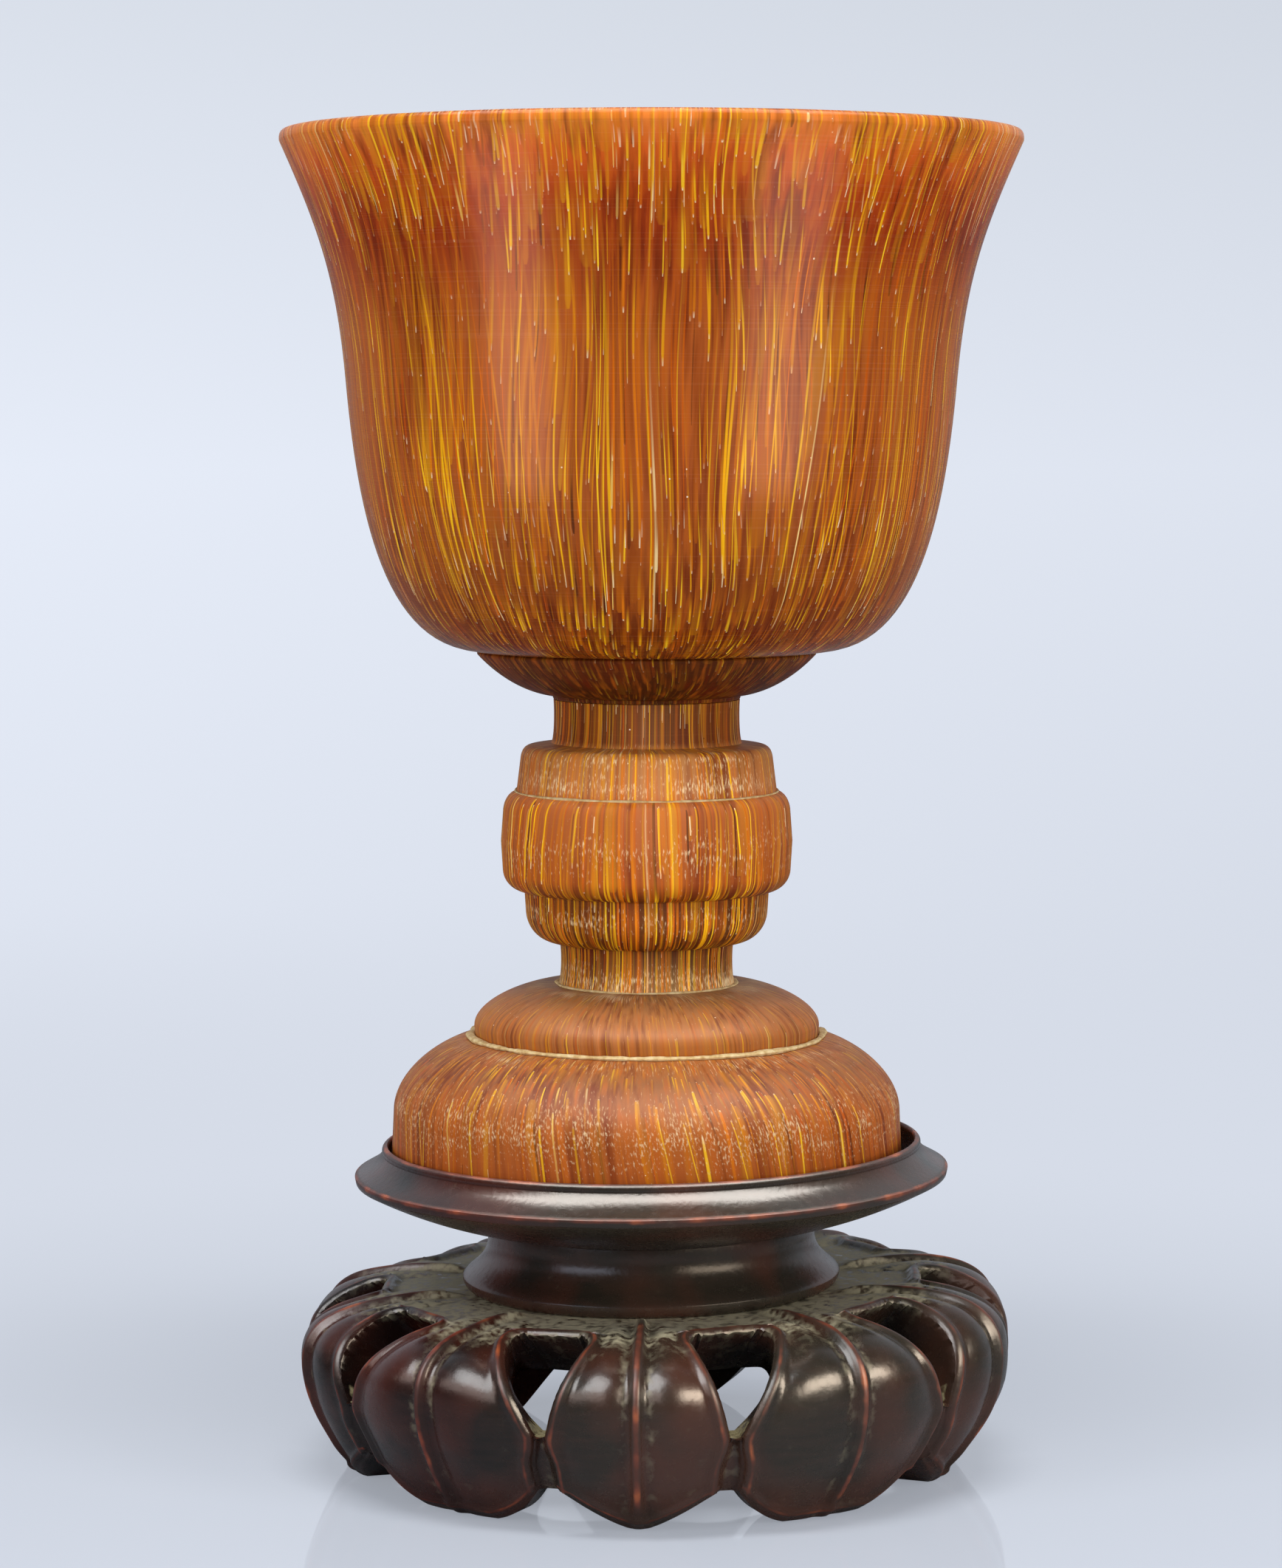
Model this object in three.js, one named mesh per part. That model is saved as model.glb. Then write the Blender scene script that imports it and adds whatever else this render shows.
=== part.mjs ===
// A libation cup of turned horn, standing loose in the tray of its carved hardwood stand.
// Millimetres, +Z up. The origin is on the ground, under the middle of the bowl and of the stand.
// The cup is five turned sections glued on spigots. The stand is a tray, a waist and a lotus-leaf base.

import * as THREE from 'three';

// Fits between the pieces.
const glueGap = 0.3; // round and under each spigot and tenon
const footPlay = 0.3; // least room between the cup's foot and the wall of the recess
const stemOffset = 0.5; // stem and foot stand this far to the left of the bowl's axis

// Heights of the sections, from the ground up.
const leafHeight = 19.4;
const waistHeight = 7;
const trayDishRise = 5;
const trayEdgeThickness = 0.8;
const trayLipRise = 3.2;
const recessDepth = 3;
const footLowerHeight = 14.5;
const footUpperHeight = 5.7;
const lowerNeckHeight = 4.7;
const lowTierHeight = 5.65;
const midTierHeight = 10.7;
const topTierHeight = 5.7;
const upperNeckHeight = 4.4;
const collarHeight = 5.35;
const bowlHeight = 55.9;

// Bowl: a flared lip over a nearly upright wall, drawn in to a flat seat.
const lipRadius = 40;
const lipThickness = 1.8;
const lipRound = 1.2;
const flareLean = 0.45; // radius gained for each millimetre of height at the lip
const flareTop = 9.8;
const flareFoot = 10.8;
const wallRadius = 33;
const wallLevel = 28.9; // where the wall is most upright, above the seat
const wallLean = 0.086;
const bellyRise = 13.9;
const bellyReach = 10.4;
const bowlWall = 2.7;
const bowlFloor = 5;
const bowlFloorRadius = 13;
const spigotGrip = 7; // length of the spigot inside the stem

// Collar: a shallow dish between the bowl and the stem.
const collarRadius = 18.5;
const seatMargin = 0.1; // the bowl's flat seat is this much wider than the collar
const collarDishReach = 4.2;
const collarDishDrop = 0.25;

// Stem: two necks and a knop of three tiers, with a tenon below.
const upperNeckRadius = 10.15;
const neckWall = 3.35; // horn left round the socket
const topTierOverhang = 4.05; // beyond the upper neck
const topTierRound = 2;
const midTierOverhang = 1.7; // beyond the top tier
const midTierRound = 1.4;
const lowerNeckRadius = 9.5;
const lowTierOverhang = 3.85; // beyond the lower neck
const lowTierRound = 2.4;
const tenonShoulder = 4; // how far the lower neck stands out round the tenon
const tenonGrip = 6; // length of the tenon inside the lower foot

// Foot: two domed tiers, the lower one relieved underneath.
const footUpperRadius = 18.86;
const footUpperWall = 1.2;
const footUpperFlat = 2; // level shoulder round the lower neck
const footRadius = 28;
const footWall = 6.4;
const footTaper = 0.3;
const domeFullness = 0.45; // length of a dome's handles, as a share of its rise and of its reach
const footRingWidth = 8;
const footRelief = 2.4;

// Tray: a dished plate with a raised lip round the recess.
const lipWidth = 0.6;
const lipFall = 0.5;
const trayFlange = 3.1;
const cavettoSag = 0.35;
const dishSag = 1.6;
const trayTenonLength = 3;

// Waist: a short flared spool.
const waistTopRadius = 17.95;
const waistFlare = 2.75; // beyond the top
const waistEdgeRound = 0.7;
const waistFlareLevel = 0.8;
const waistCollarHeight = 1;
const waistTopShoulder = 9; // level face round the upper tenon
const waistFootShoulder = 8; // level face round the lower tenon
const flareKnee = 0.6; // the flare's handles, as shares of its reach and of its rise
const flareLowHandle = 0.15;
const flareHighHandle = 0.45;

// Leaf base: pairs of a slim and a broad lotus petal, with a pierced opening beside each, hollow underneath.
const petalPairs = 5;
const petalNarrowing = 2.4; // degrees that a slim petal gives to each neighbour, from the openings' feet down
const leafTurn = -2.4; // degrees from the front to the first rib, which is a slim petal's
const hubMargin = 0.6; // level rim of the hub outside the waist
const hubThickness = 5;
const leafWall = 4.5;
const leafReach = 17.85; // from the hub's rim out to the foot of the openings
const shoulderReach = 14.9;
const shoulderCrown = 0.5;
const shoulderDrop = 8;
const skirtLean = 0.23; // radius lost for each millimetre down at the foot of the openings
const skirtFall = 3.4;
const tipTuck = 5.85; // how far the tip lies inside the foot of the openings
const tipReach = 2.6;
const tipRise = 3.7;
const slimTipHalfAngle = 13.5; // a lower edge rises from the tip to the notch over this angle, in degrees
const slimTipCurve = 1.2;
const broadTipHalfAngle = 18;
const broadTipCurve = 2.6;
const tipSink = 0.4; // what is cut off each tip to make it stand flat
const notchLevel = 4.1; // lower edge between two petals
const openingFootLevel = 10.4;
const openingInset = 9; // from the hub's rim out to the openings
const openingHalfAngle = 9.3;
const openingFootHalfAngle = 1;
const openingCorner = 0.12; // share of the opening's length that its top corners take
const openingTopShare = 0.6; // width of the opening's straight top edge
const stripHalfAngle = 1.9;
const stripDepth = 1.2;
const ribHeight = 0.7;
const ribHalfWidth = 0.9;
const pillowHeight = 0.45;
const edgeDrop = 0.9;
const beadHeight = 0.55;
const beadWidth = 1.3;
const beadFootDrop = 0.8; // share of the edge's drop that is reached at the foot of the bead
const pillowDrop = 0.25; // share of it that is reached half way to the rib
const dropLength = 0.6; // share of the opening's length over which the petals' edges drop
const stripWidening = 0.4; // share of the skirt over which the strip between petals widens

// Fineness of the faces.
const turnSegments = 40;
const longCurveSteps = 7;
const shortCurveSteps = 3;
const cornerSteps = 2;
const openingRows = 5;
const openingRowSpread = 1.3; // above 1, the rows crowd together near the top of the openings
const skirtRows = 3;
const fadeRow = 0.45; // where the carving has its full height, as a share of the way to the openings
const beadRow = 0.8; // just above the openings' rim
const stripFoot = 0.4; // foot of the bead in the gap between petals, as a share of half the gap

// Levels where one section sits on the next.
const trayBottom = leafHeight + waistHeight;
const trayEdgeBottom = trayBottom + trayDishRise;
const trayEdgeTop = trayEdgeBottom + trayEdgeThickness;
const trayLipTop = trayEdgeTop + trayLipRise;
const recessFloor = trayLipTop - recessDepth;
const footJoint = recessFloor + footLowerHeight;
const footTop = footJoint + footUpperHeight;
const knopBottom = footTop + lowerNeckHeight;
const midTierBottom = knopBottom + lowTierHeight;
const topTierBottom = midTierBottom + midTierHeight;
const knopTop = topTierBottom + topTierHeight;
const collarBottom = knopTop + upperNeckHeight;
const bowlBottom = collarBottom + collarHeight;
const rimTop = bowlBottom + bowlHeight;

// Radii that follow from the fits, and the sockets from what goes into them.
const bowlSeatRadius = collarRadius + seatMargin;
const spigotBottom = collarBottom - spigotGrip;
const spigotBore = upperNeckRadius - neckWall;
const spigotRadius = spigotBore - stemOffset - glueGap;
const tenonRadius = lowerNeckRadius - tenonShoulder;
const tenonBore = tenonRadius + glueGap;
const tenonBottom = footJoint - tenonGrip;
const recessRadius = footRadius + stemOffset + footPlay;
const trayLipRadius = recessRadius + lipWidth;
const trayRadius = trayLipRadius + trayFlange;
const waistFlareRadius = waistTopRadius + waistFlare;
const waistFootRadius = waistFlareRadius - waistEdgeRound;
const trayTenonRadius = waistTopRadius - waistTopShoulder;
const trayMortise = trayTenonRadius + glueGap;
const baseTenonRadius = waistFootRadius - waistFootShoulder;
const hubBore = baseTenonRadius + glueGap;
const hubRadius = waistFootRadius + hubMargin;
const hubBottom = leafHeight - hubThickness;
const openingTopRadius = hubRadius + openingInset;
const openingFootRadius = hubRadius + leafReach;
const tipRadius = openingFootRadius - tipTuck;

// A solid turned from a half outline of radius and height.
// The outline starts and ends on the axis, or closes on itself.
function turned(outline, steps) {
  const points = outline.getPoints(steps);
  return new THREE.LatheGeometry(points, turnSegments).rotateX(Math.PI / 2);
}

// Draws a dome from the outline's last point.
// It starts upright at (radius, low) and ends level at (radius - reach, low + rise).
function domeUp(outline, radius, low, reach, rise) {
  const handleUp = low + rise * domeFullness;
  const handleIn = radius - reach + reach * domeFullness;
  outline.bezierCurveTo(radius, handleUp, handleIn, low + rise, radius - reach, low + rise);
}

function bowlGeometry() {
  const wallTop = bowlBottom + wallLevel;
  const lipLevel = rimTop - lipRound;
  const lipInside = lipRadius - lipThickness;
  const lipMiddle = lipRadius - lipThickness / 2;
  const floorLevel = bowlBottom + bowlFloor;
  const bellyHandle = wallRadius - bellyRise * wallLean;
  const flareHandle = wallRadius + flareFoot * wallLean;
  const lipHandle = flareTop * flareLean;
  const outline = new THREE.Path();
  outline.moveTo(0, spigotBottom);
  outline.lineTo(spigotRadius, spigotBottom);
  outline.lineTo(spigotRadius, bowlBottom);
  outline.lineTo(bowlSeatRadius, bowlBottom);
  outline.bezierCurveTo(
    bowlSeatRadius + bellyReach, bowlBottom,
    bellyHandle, wallTop - bellyRise,
    wallRadius, wallTop,
  );
  outline.bezierCurveTo(
    flareHandle, wallTop + flareFoot,
    lipRadius - lipHandle, lipLevel - flareTop,
    lipRadius, lipLevel,
  );
  outline.quadraticCurveTo(lipRadius, rimTop, lipMiddle, rimTop);
  outline.quadraticCurveTo(lipInside, rimTop, lipInside, lipLevel);
  outline.bezierCurveTo(
    lipInside - lipHandle, lipLevel - flareTop,
    flareHandle - bowlWall, wallTop + flareFoot,
    wallRadius - bowlWall, wallTop,
  );
  outline.bezierCurveTo(
    bellyHandle - bowlWall, wallTop - bellyRise,
    bowlSeatRadius + bellyReach - bowlWall, floorLevel,
    bowlFloorRadius, floorLevel,
  );
  outline.lineTo(0, floorLevel);
  return turned(outline, longCurveSteps);
}

function collarGeometry() {
  const outline = new THREE.Path();
  outline.moveTo(spigotBore, collarBottom);
  outline.lineTo(upperNeckRadius, collarBottom);
  outline.quadraticCurveTo(
    upperNeckRadius + collarDishReach, collarBottom + collarDishDrop,
    collarRadius, bowlBottom,
  );
  outline.lineTo(spigotBore, bowlBottom);
  outline.closePath();
  return turned(outline, longCurveSteps);
}

function stemGeometry() {
  const socketFloor = spigotBottom - glueGap;
  const lowTierRadius = lowerNeckRadius + lowTierOverhang;
  const topTierRadius = upperNeckRadius + topTierOverhang;
  const midTierRadius = topTierRadius + midTierOverhang;
  const midTierEdge = Math.min(midTierRound, midTierOverhang, midTierRadius - lowTierRadius);
  const outline = new THREE.Path();
  outline.moveTo(0, tenonBottom);
  outline.lineTo(tenonRadius, tenonBottom);
  outline.lineTo(tenonRadius, footTop);
  outline.lineTo(lowerNeckRadius, footTop);
  outline.lineTo(lowerNeckRadius, knopBottom);
  outline.lineTo(lowTierRadius - lowTierRound, knopBottom);
  outline.quadraticCurveTo(lowTierRadius, knopBottom, lowTierRadius, knopBottom + lowTierRound);
  outline.lineTo(lowTierRadius, midTierBottom);
  outline.lineTo(midTierRadius - midTierEdge, midTierBottom);
  outline.quadraticCurveTo(midTierRadius, midTierBottom, midTierRadius, midTierBottom + midTierEdge);
  outline.lineTo(midTierRadius, topTierBottom - midTierEdge);
  outline.quadraticCurveTo(midTierRadius, topTierBottom, midTierRadius - midTierEdge, topTierBottom);
  outline.lineTo(topTierRadius, topTierBottom);
  outline.lineTo(topTierRadius, knopTop - topTierRound);
  outline.quadraticCurveTo(topTierRadius, knopTop, topTierRadius - topTierRound, knopTop);
  outline.lineTo(upperNeckRadius, knopTop);
  outline.lineTo(upperNeckRadius, collarBottom);
  outline.lineTo(spigotBore, collarBottom);
  outline.lineTo(spigotBore, socketFloor);
  outline.lineTo(0, socketFloor);
  return turned(outline, cornerSteps);
}

function footUpperGeometry() {
  const domeLow = footJoint + footUpperWall;
  const flatRadius = lowerNeckRadius + footUpperFlat;
  const outline = new THREE.Path();
  outline.moveTo(tenonBore, footJoint);
  outline.lineTo(footUpperRadius, footJoint);
  outline.lineTo(footUpperRadius, domeLow);
  domeUp(outline, footUpperRadius, domeLow, footUpperRadius - flatRadius, footTop - domeLow);
  outline.lineTo(tenonBore, footTop);
  outline.closePath();
  return turned(outline, longCurveSteps);
}

function footLowerGeometry() {
  const domeLow = recessFloor + footWall;
  const domeRadius = footRadius - footTaper;
  const reliefRadius = footRadius - footRingWidth;
  const reliefTop = recessFloor + footRelief;
  const socketFloor = tenonBottom - glueGap;
  const outline = new THREE.Path();
  outline.moveTo(0, reliefTop);
  outline.lineTo(reliefRadius, reliefTop);
  outline.lineTo(reliefRadius, recessFloor);
  outline.lineTo(footRadius, recessFloor);
  outline.lineTo(domeRadius, domeLow);
  domeUp(outline, domeRadius, domeLow, domeRadius - footUpperRadius, footJoint - domeLow);
  outline.lineTo(tenonBore, footJoint);
  outline.lineTo(tenonBore, socketFloor);
  outline.lineTo(0, socketFloor);
  return turned(outline, longCurveSteps);
}

function trayGeometry() {
  const mortiseTop = trayBottom + trayTenonLength + glueGap;
  const dishMiddle = (waistTopRadius + trayRadius) / 2;
  const flangeMiddle = (trayLipRadius + trayRadius) / 2;
  const flangeLevel = (trayEdgeTop + trayLipTop - lipFall) / 2;
  const outline = new THREE.Path();
  outline.moveTo(0, mortiseTop);
  outline.lineTo(trayMortise, mortiseTop);
  outline.lineTo(trayMortise, trayBottom);
  outline.lineTo(waistTopRadius, trayBottom);
  outline.quadraticCurveTo(
    dishMiddle, trayEdgeBottom - trayDishRise / 2 - dishSag,
    trayRadius, trayEdgeBottom,
  );
  outline.lineTo(trayRadius, trayEdgeTop);
  outline.quadraticCurveTo(
    flangeMiddle - cavettoSag, flangeLevel - cavettoSag,
    trayLipRadius, trayLipTop - lipFall,
  );
  outline.quadraticCurveTo(trayLipRadius, trayLipTop, recessRadius, trayLipTop);
  outline.lineTo(recessRadius, recessFloor);
  outline.lineTo(0, recessFloor);
  return turned(outline, shortCurveSteps);
}

function waistGeometry() {
  const flareTopLevel = leafHeight + waistFlareLevel;
  const collarLow = trayBottom - waistCollarHeight;
  const flareRise = collarLow - flareTopLevel;
  const outline = new THREE.Path();
  outline.moveTo(0, hubBottom);
  outline.lineTo(baseTenonRadius, hubBottom);
  outline.lineTo(baseTenonRadius, leafHeight);
  outline.lineTo(waistFootRadius, leafHeight);
  outline.quadraticCurveTo(waistFlareRadius, leafHeight, waistFlareRadius, flareTopLevel);
  outline.bezierCurveTo(
    waistFlareRadius - waistFlare * flareKnee, flareTopLevel + flareRise * flareLowHandle,
    waistTopRadius, flareTopLevel + flareRise * flareHighHandle,
    waistTopRadius, collarLow,
  );
  outline.lineTo(waistTopRadius, trayBottom);
  outline.lineTo(trayTenonRadius, trayBottom);
  outline.lineTo(trayTenonRadius, trayBottom + trayTenonLength);
  outline.lineTo(0, trayBottom + trayTenonLength);
  return turned(outline, shortCurveSteps);
}

// The petals' section runs level from the hub, over the shoulder to the openings' foot, and in to the tip.
const shoulderCurve = new THREE.CubicBezierCurve(
  new THREE.Vector2(hubRadius, leafHeight),
  new THREE.Vector2(hubRadius + shoulderReach, leafHeight + shoulderCrown),
  new THREE.Vector2(openingFootRadius + shoulderDrop * skirtLean, openingFootLevel + shoulderDrop),
  new THREE.Vector2(openingFootRadius, openingFootLevel),
);
const skirtCurve = new THREE.CubicBezierCurve(
  new THREE.Vector2(openingFootRadius, openingFootLevel),
  new THREE.Vector2(openingFootRadius - skirtFall * skirtLean, openingFootLevel - skirtFall),
  new THREE.Vector2(tipRadius + tipReach, tipRise),
  new THREE.Vector2(tipRadius, 0),
);

// The inside follows the same section: under the hub, and one wall in from the skirt.
const innerShoulderCurve = new THREE.CubicBezierCurve(
  new THREE.Vector2(hubRadius, hubBottom),
  new THREE.Vector2(hubRadius + shoulderReach - leafWall, hubBottom + shoulderCrown),
  new THREE.Vector2(openingFootRadius - leafWall, (openingFootLevel + hubBottom) / 2),
  new THREE.Vector2(openingFootRadius - leafWall, openingFootLevel),
);
const innerSkirtCurve = new THREE.CubicBezierCurve(
  ...[skirtCurve.v0, skirtCurve.v1, skirtCurve.v2, skirtCurve.v3].map(
    (point) => new THREE.Vector2(point.x - leafWall, point.y),
  ),
);

const petalCount = 2 * petalPairs;
const halfPitch = 180 / petalCount;
// Rises smoothly from 0 to 1 while x goes from low to high.
const smooth = (x, low, high) => THREE.MathUtils.smoothstep(x, low, high);

// The curve parameter at which a coordinate meets a value.
// The coordinate grows along the curve, or falls where grows is -1.
function parameterAt(curve, coordinate, value, grows) {
  let low = 0;
  let high = 1;
  while (high - low > 2 * Number.EPSILON) {
    const middle = (low + high) / 2;
    const beyond = (curve.getPoint(middle)[coordinate] - value) * grows > 0;
    if (beyond) high = middle;
    else low = middle;
  }
  return (low + high) / 2;
}

const openingStart = parameterAt(shoulderCurve, 'x', openingTopRadius, 1);

// Rows of the leaf base: across the hub, over the shoulder and down the skirt to the scalloped edge.
const rows = [
  { zone: 'hub', share: 0 },
  { zone: 'shoulder', at: 0 },
  { zone: 'shoulder', at: openingStart * fadeRow },
  { zone: 'shoulder', at: openingStart * beadRow },
];
const openingRow = rows.length;
for (let step = 0; step <= openingRows; step += 1) {
  const share = (step / openingRows) ** openingRowSpread;
  rows.push({ zone: 'shoulder', at: openingStart + (1 - openingStart) * share });
}
const openingFootRow = rows.length - 1;
for (let step = 1; step <= skirtRows; step += 1) {
  rows.push({ zone: 'skirt', at: step / skirtRows });
}

// Columns of one petal, from the middle of one gap to just before the middle of the next.
const columns = [
  { side: -1, part: 'gap', share: 1 },
  { side: -1, part: 'gap', share: stripFoot },
  { side: -1, part: 'edge' },
  { side: -1, part: 'beadFoot' },
  { side: -1, part: 'middle' },
  { side: -1, part: 'ribFoot' },
  { side: 1, part: 'rib' },
  { side: 1, part: 'ribFoot' },
  { side: 1, part: 'middle' },
  { side: 1, part: 'beadFoot' },
  { side: 1, part: 'edge' },
  { side: 1, part: 'gap', share: stripFoot },
];
const openCells = new Set([0, 1, columns.length - 2, columns.length - 1]);

// Share of the way down the openings: 0 at their top and above it, 1 at their foot and below it.
function openingShare(row) {
  if (row.zone === 'skirt') return 1;
  return Math.max(0, (row.at ?? 0) - openingStart) / (1 - openingStart);
}

const isSlim = (petal) => petal % 2 === 0;

// Half the angle of a petal in degrees, out to the middle of the gap beside it.
function petalHalfAngle(petal, row) {
  const narrowing = petalNarrowing * openingShare(row);
  return isSlim(petal) ? halfPitch - narrowing : halfPitch + narrowing;
}

// Half the angle of the gap between two petals, in degrees.
function gapHalfAngle(row) {
  if (row.zone === 'skirt') {
    const widening = smooth(row.at, 0, stripWidening);
    return openingFootHalfAngle + (stripHalfAngle - openingFootHalfAngle) * widening;
  }
  const along = openingShare(row);
  const tapered = openingHalfAngle + (openingFootHalfAngle - openingHalfAngle) * along;
  const corner = Math.min(1, along / openingCorner);
  const rounding = Math.sqrt(1 - (1 - corner) ** 2);
  return tapered * (openingTopShare + (1 - openingTopShare) * rounding);
}

// Angle of a column from its petal's rib, in degrees, where the surface has this radius.
function columnAngle(petal, column, row, radius) {
  const toDegrees = THREE.MathUtils.radToDeg(1 / radius);
  const gapMiddle = petalHalfAngle(petal, row);
  const edge = gapMiddle - gapHalfAngle(row);
  const ribFoot = ribHalfWidth * toDegrees;
  const beadFoot = edge - beadWidth * toDegrees;
  if (column.part === 'rib') return 0;
  if (column.part === 'ribFoot') return ribFoot;
  if (column.part === 'middle') return (ribFoot + beadFoot) / 2;
  if (column.part === 'beadFoot') return beadFoot;
  if (column.part === 'edge') return edge;
  return edge + (gapMiddle - edge) * column.share;
}

// Level of a petal's lower edge at an angle from its rib: a flat tip, rising to the notch between petals.
function edgeLevel(petal, angle) {
  const halfAngle = isSlim(petal) ? slimTipHalfAngle : broadTipHalfAngle;
  const curve = isSlim(petal) ? slimTipCurve : broadTipCurve;
  const rise = Math.min(1, angle / halfAngle) ** curve;
  return Math.max(0, (notchLevel + tipSink) * rise - tipSink);
}

// How far the carving stands above the plain section.
function relief(column, row) {
  if (row.zone === 'hub') return 0;
  const along = openingShare(row);
  const atOpening = row.zone === 'skirt' || row.at >= openingStart;
  const fadeIn = row.zone === 'skirt' ? 1 : smooth(row.at, 0, openingStart * fadeRow);
  const drop = edgeDrop * smooth(along, 0, dropLength);
  if (column.part === 'rib') return ribHeight * fadeIn;
  if (column.part === 'ribFoot') return 0;
  if (column.part === 'middle') return (pillowHeight - drop * pillowDrop) * fadeIn;
  if (column.part === 'beadFoot') return -drop * beadFootDrop;
  if (column.part === 'edge') return atOpening ? beadHeight - drop : 0;
  if (row.zone === 'skirt') return -drop - stripDepth;
  if (!atOpening) return 0;
  const atTop = along === 0;
  return atTop ? beadHeight : -drop - stripDepth;
}

// Points of the leaf base, outside and inside, at a row and a column counted all the way round.
function leafPoint(rowIndex, columnIndex, inside) {
  const row = rows[rowIndex];
  const column = columns[columnIndex % columns.length];
  const petal = Math.floor(columnIndex / columns.length);
  const upper = inside ? innerShoulderCurve : shoulderCurve;
  const lower = inside ? innerSkirtCurve : skirtCurve;
  let curve = upper;
  let at = row.at ?? 0;
  if (row.zone === 'skirt') {
    curve = lower;
    const edge = edgeLevel(petal, columnAngle(petal, column, row, skirtCurve.getPoint(at).x));
    at *= parameterAt(skirtCurve, 'y', edge, -1);
  }
  const onSection = curve.getPoint(at);
  const height = inside ? 0 : relief(column, row);
  const tangent = curve.getTangent(at);
  const level = row.zone === 'skirt';
  const radius = row.zone === 'hub' ? hubBore : onSection.x + height * (level ? 1 : -tangent.y);
  const z = onSection.y + height * (level ? 0 : tangent.x);
  const outside = (row.zone === 'skirt' ? skirtCurve : shoulderCurve).getPoint(at);
  const angle = columnAngle(petal, column, row, outside.x) * column.side;
  const turn = THREE.MathUtils.degToRad(leafTurn - 90 + petal * 2 * halfPitch + angle);
  return new THREE.Vector3(radius * Math.cos(turn), radius * Math.sin(turn), z);
}

// A closed shell: an outer and an inner sheet of the same rows and columns, walled together along every free edge.
function leafGeometry() {
  const round = petalCount * columns.length;
  const positions = [];
  const index = [];
  const numbers = new Map();
  const freeEdges = new Map();
  const vertex = ([row, column], inside) => {
    const key = `${inside} ${row} ${column}`;
    if (!numbers.has(key)) {
      numbers.set(key, positions.length / 3);
      positions.push(...leafPoint(row, column, inside).toArray());
    }
    return numbers.get(key);
  };
  const quad = (a, b, c, d) => index.push(a, b, c, a, c, d);
  for (let row = 0; row < rows.length - 1; row += 1) {
    for (let column = 0; column < round; column += 1) {
      const atOpening = row >= openingRow && row < openingFootRow;
      if (atOpening && openCells.has(column % columns.length)) continue;
      const next = (column + 1) % round;
      const corners = [[row, column], [row + 1, column], [row + 1, next], [row, next]];
      quad(...corners.map((corner) => vertex(corner, false)));
      quad(...corners.map((corner) => vertex(corner, true)).reverse());
      corners.forEach((from, side) => {
        const to = corners[(side + 1) % corners.length];
        if (!freeEdges.delete(`${to} ${from}`)) freeEdges.set(`${from} ${to}`, [from, to]);
      });
    }
  }
  for (const [from, to] of freeEdges.values()) {
    quad(vertex(to, false), vertex(from, false), vertex(from, true), vertex(to, true));
  }
  const geometry = new THREE.BufferGeometry();
  geometry.setAttribute('position', new THREE.Float32BufferAttribute(positions, 3));
  geometry.setIndex(index);
  geometry.computeVertexNormals();
  return geometry;
}

const horn = { color: '#8c4a20', roughness: 0.42, metalness: 0 };
const paleHorn = { color: '#9a5c2c', roughness: 0.5, metalness: 0 };
const wood = { color: '#2f1c15', roughness: 0.35, metalness: 0 };

function piece(name, geometry, finish) {
  const mesh = new THREE.Mesh(geometry, new THREE.MeshStandardMaterial(finish));
  mesh.name = name;
  return mesh;
}

const stemAndFoot = new THREE.Group();
stemAndFoot.position.x = -stemOffset;
stemAndFoot.add(
  piece('bowl_collar', collarGeometry(), horn),
  piece('stem', stemGeometry(), paleHorn),
  piece('foot_upper', footUpperGeometry(), horn),
  piece('foot_lower', footLowerGeometry(), horn),
);

const cup = new THREE.Group();
cup.add(piece('bowl', bowlGeometry(), horn), stemAndFoot);

const stand = new THREE.Group();
stand.add(
  piece('stand_tray', trayGeometry(), wood),
  piece('stand_waist', waistGeometry(), wood),
  piece('leaf_base', leafGeometry(), wood),
);

const libationCup = new THREE.Group();
libationCup.add(cup, stand);

export default libationCup;
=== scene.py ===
# %% [markdown]
# # A libation cup of turned horn on its carved stand
#
# The real object is a small goblet, turned from horn in five sections that are glued on spigots. It
# stands loose in the tray of a dark hardwood stand, and the stand rests on a carved lotus leaf of ten
# petals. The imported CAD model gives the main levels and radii, and its other sizes are named again here.
# Its faces are coarse, so each node is replaced by a fine mesh with the same sizes, and nothing has to be
# fitted afterwards.

# %% Load the frame
import functools
import math

import bpy
import numpy as np
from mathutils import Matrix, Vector, noise


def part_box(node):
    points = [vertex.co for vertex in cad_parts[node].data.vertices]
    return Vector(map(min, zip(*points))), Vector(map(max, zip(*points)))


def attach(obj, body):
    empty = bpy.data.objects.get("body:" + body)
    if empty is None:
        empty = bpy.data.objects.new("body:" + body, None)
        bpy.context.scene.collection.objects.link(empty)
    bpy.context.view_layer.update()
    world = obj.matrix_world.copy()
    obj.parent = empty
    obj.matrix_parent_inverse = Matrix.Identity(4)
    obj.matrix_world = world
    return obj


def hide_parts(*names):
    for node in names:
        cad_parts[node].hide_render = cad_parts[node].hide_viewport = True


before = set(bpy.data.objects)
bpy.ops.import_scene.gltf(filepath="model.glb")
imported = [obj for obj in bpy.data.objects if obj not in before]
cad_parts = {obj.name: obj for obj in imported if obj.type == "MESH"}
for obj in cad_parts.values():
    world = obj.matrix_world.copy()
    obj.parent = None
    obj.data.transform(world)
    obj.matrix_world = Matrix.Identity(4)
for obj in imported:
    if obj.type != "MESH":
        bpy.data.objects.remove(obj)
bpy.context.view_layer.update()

# %% [markdown]
# ## Camera
#
# The photograph was taken with a long lens, a little below the lip and tilted slightly down, so the
# mouth shows as a thin line and the top of the tray as a narrow ring. The place and lens were worked
# out from the widths and heights of those rings, and are written here as real sizes.

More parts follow.
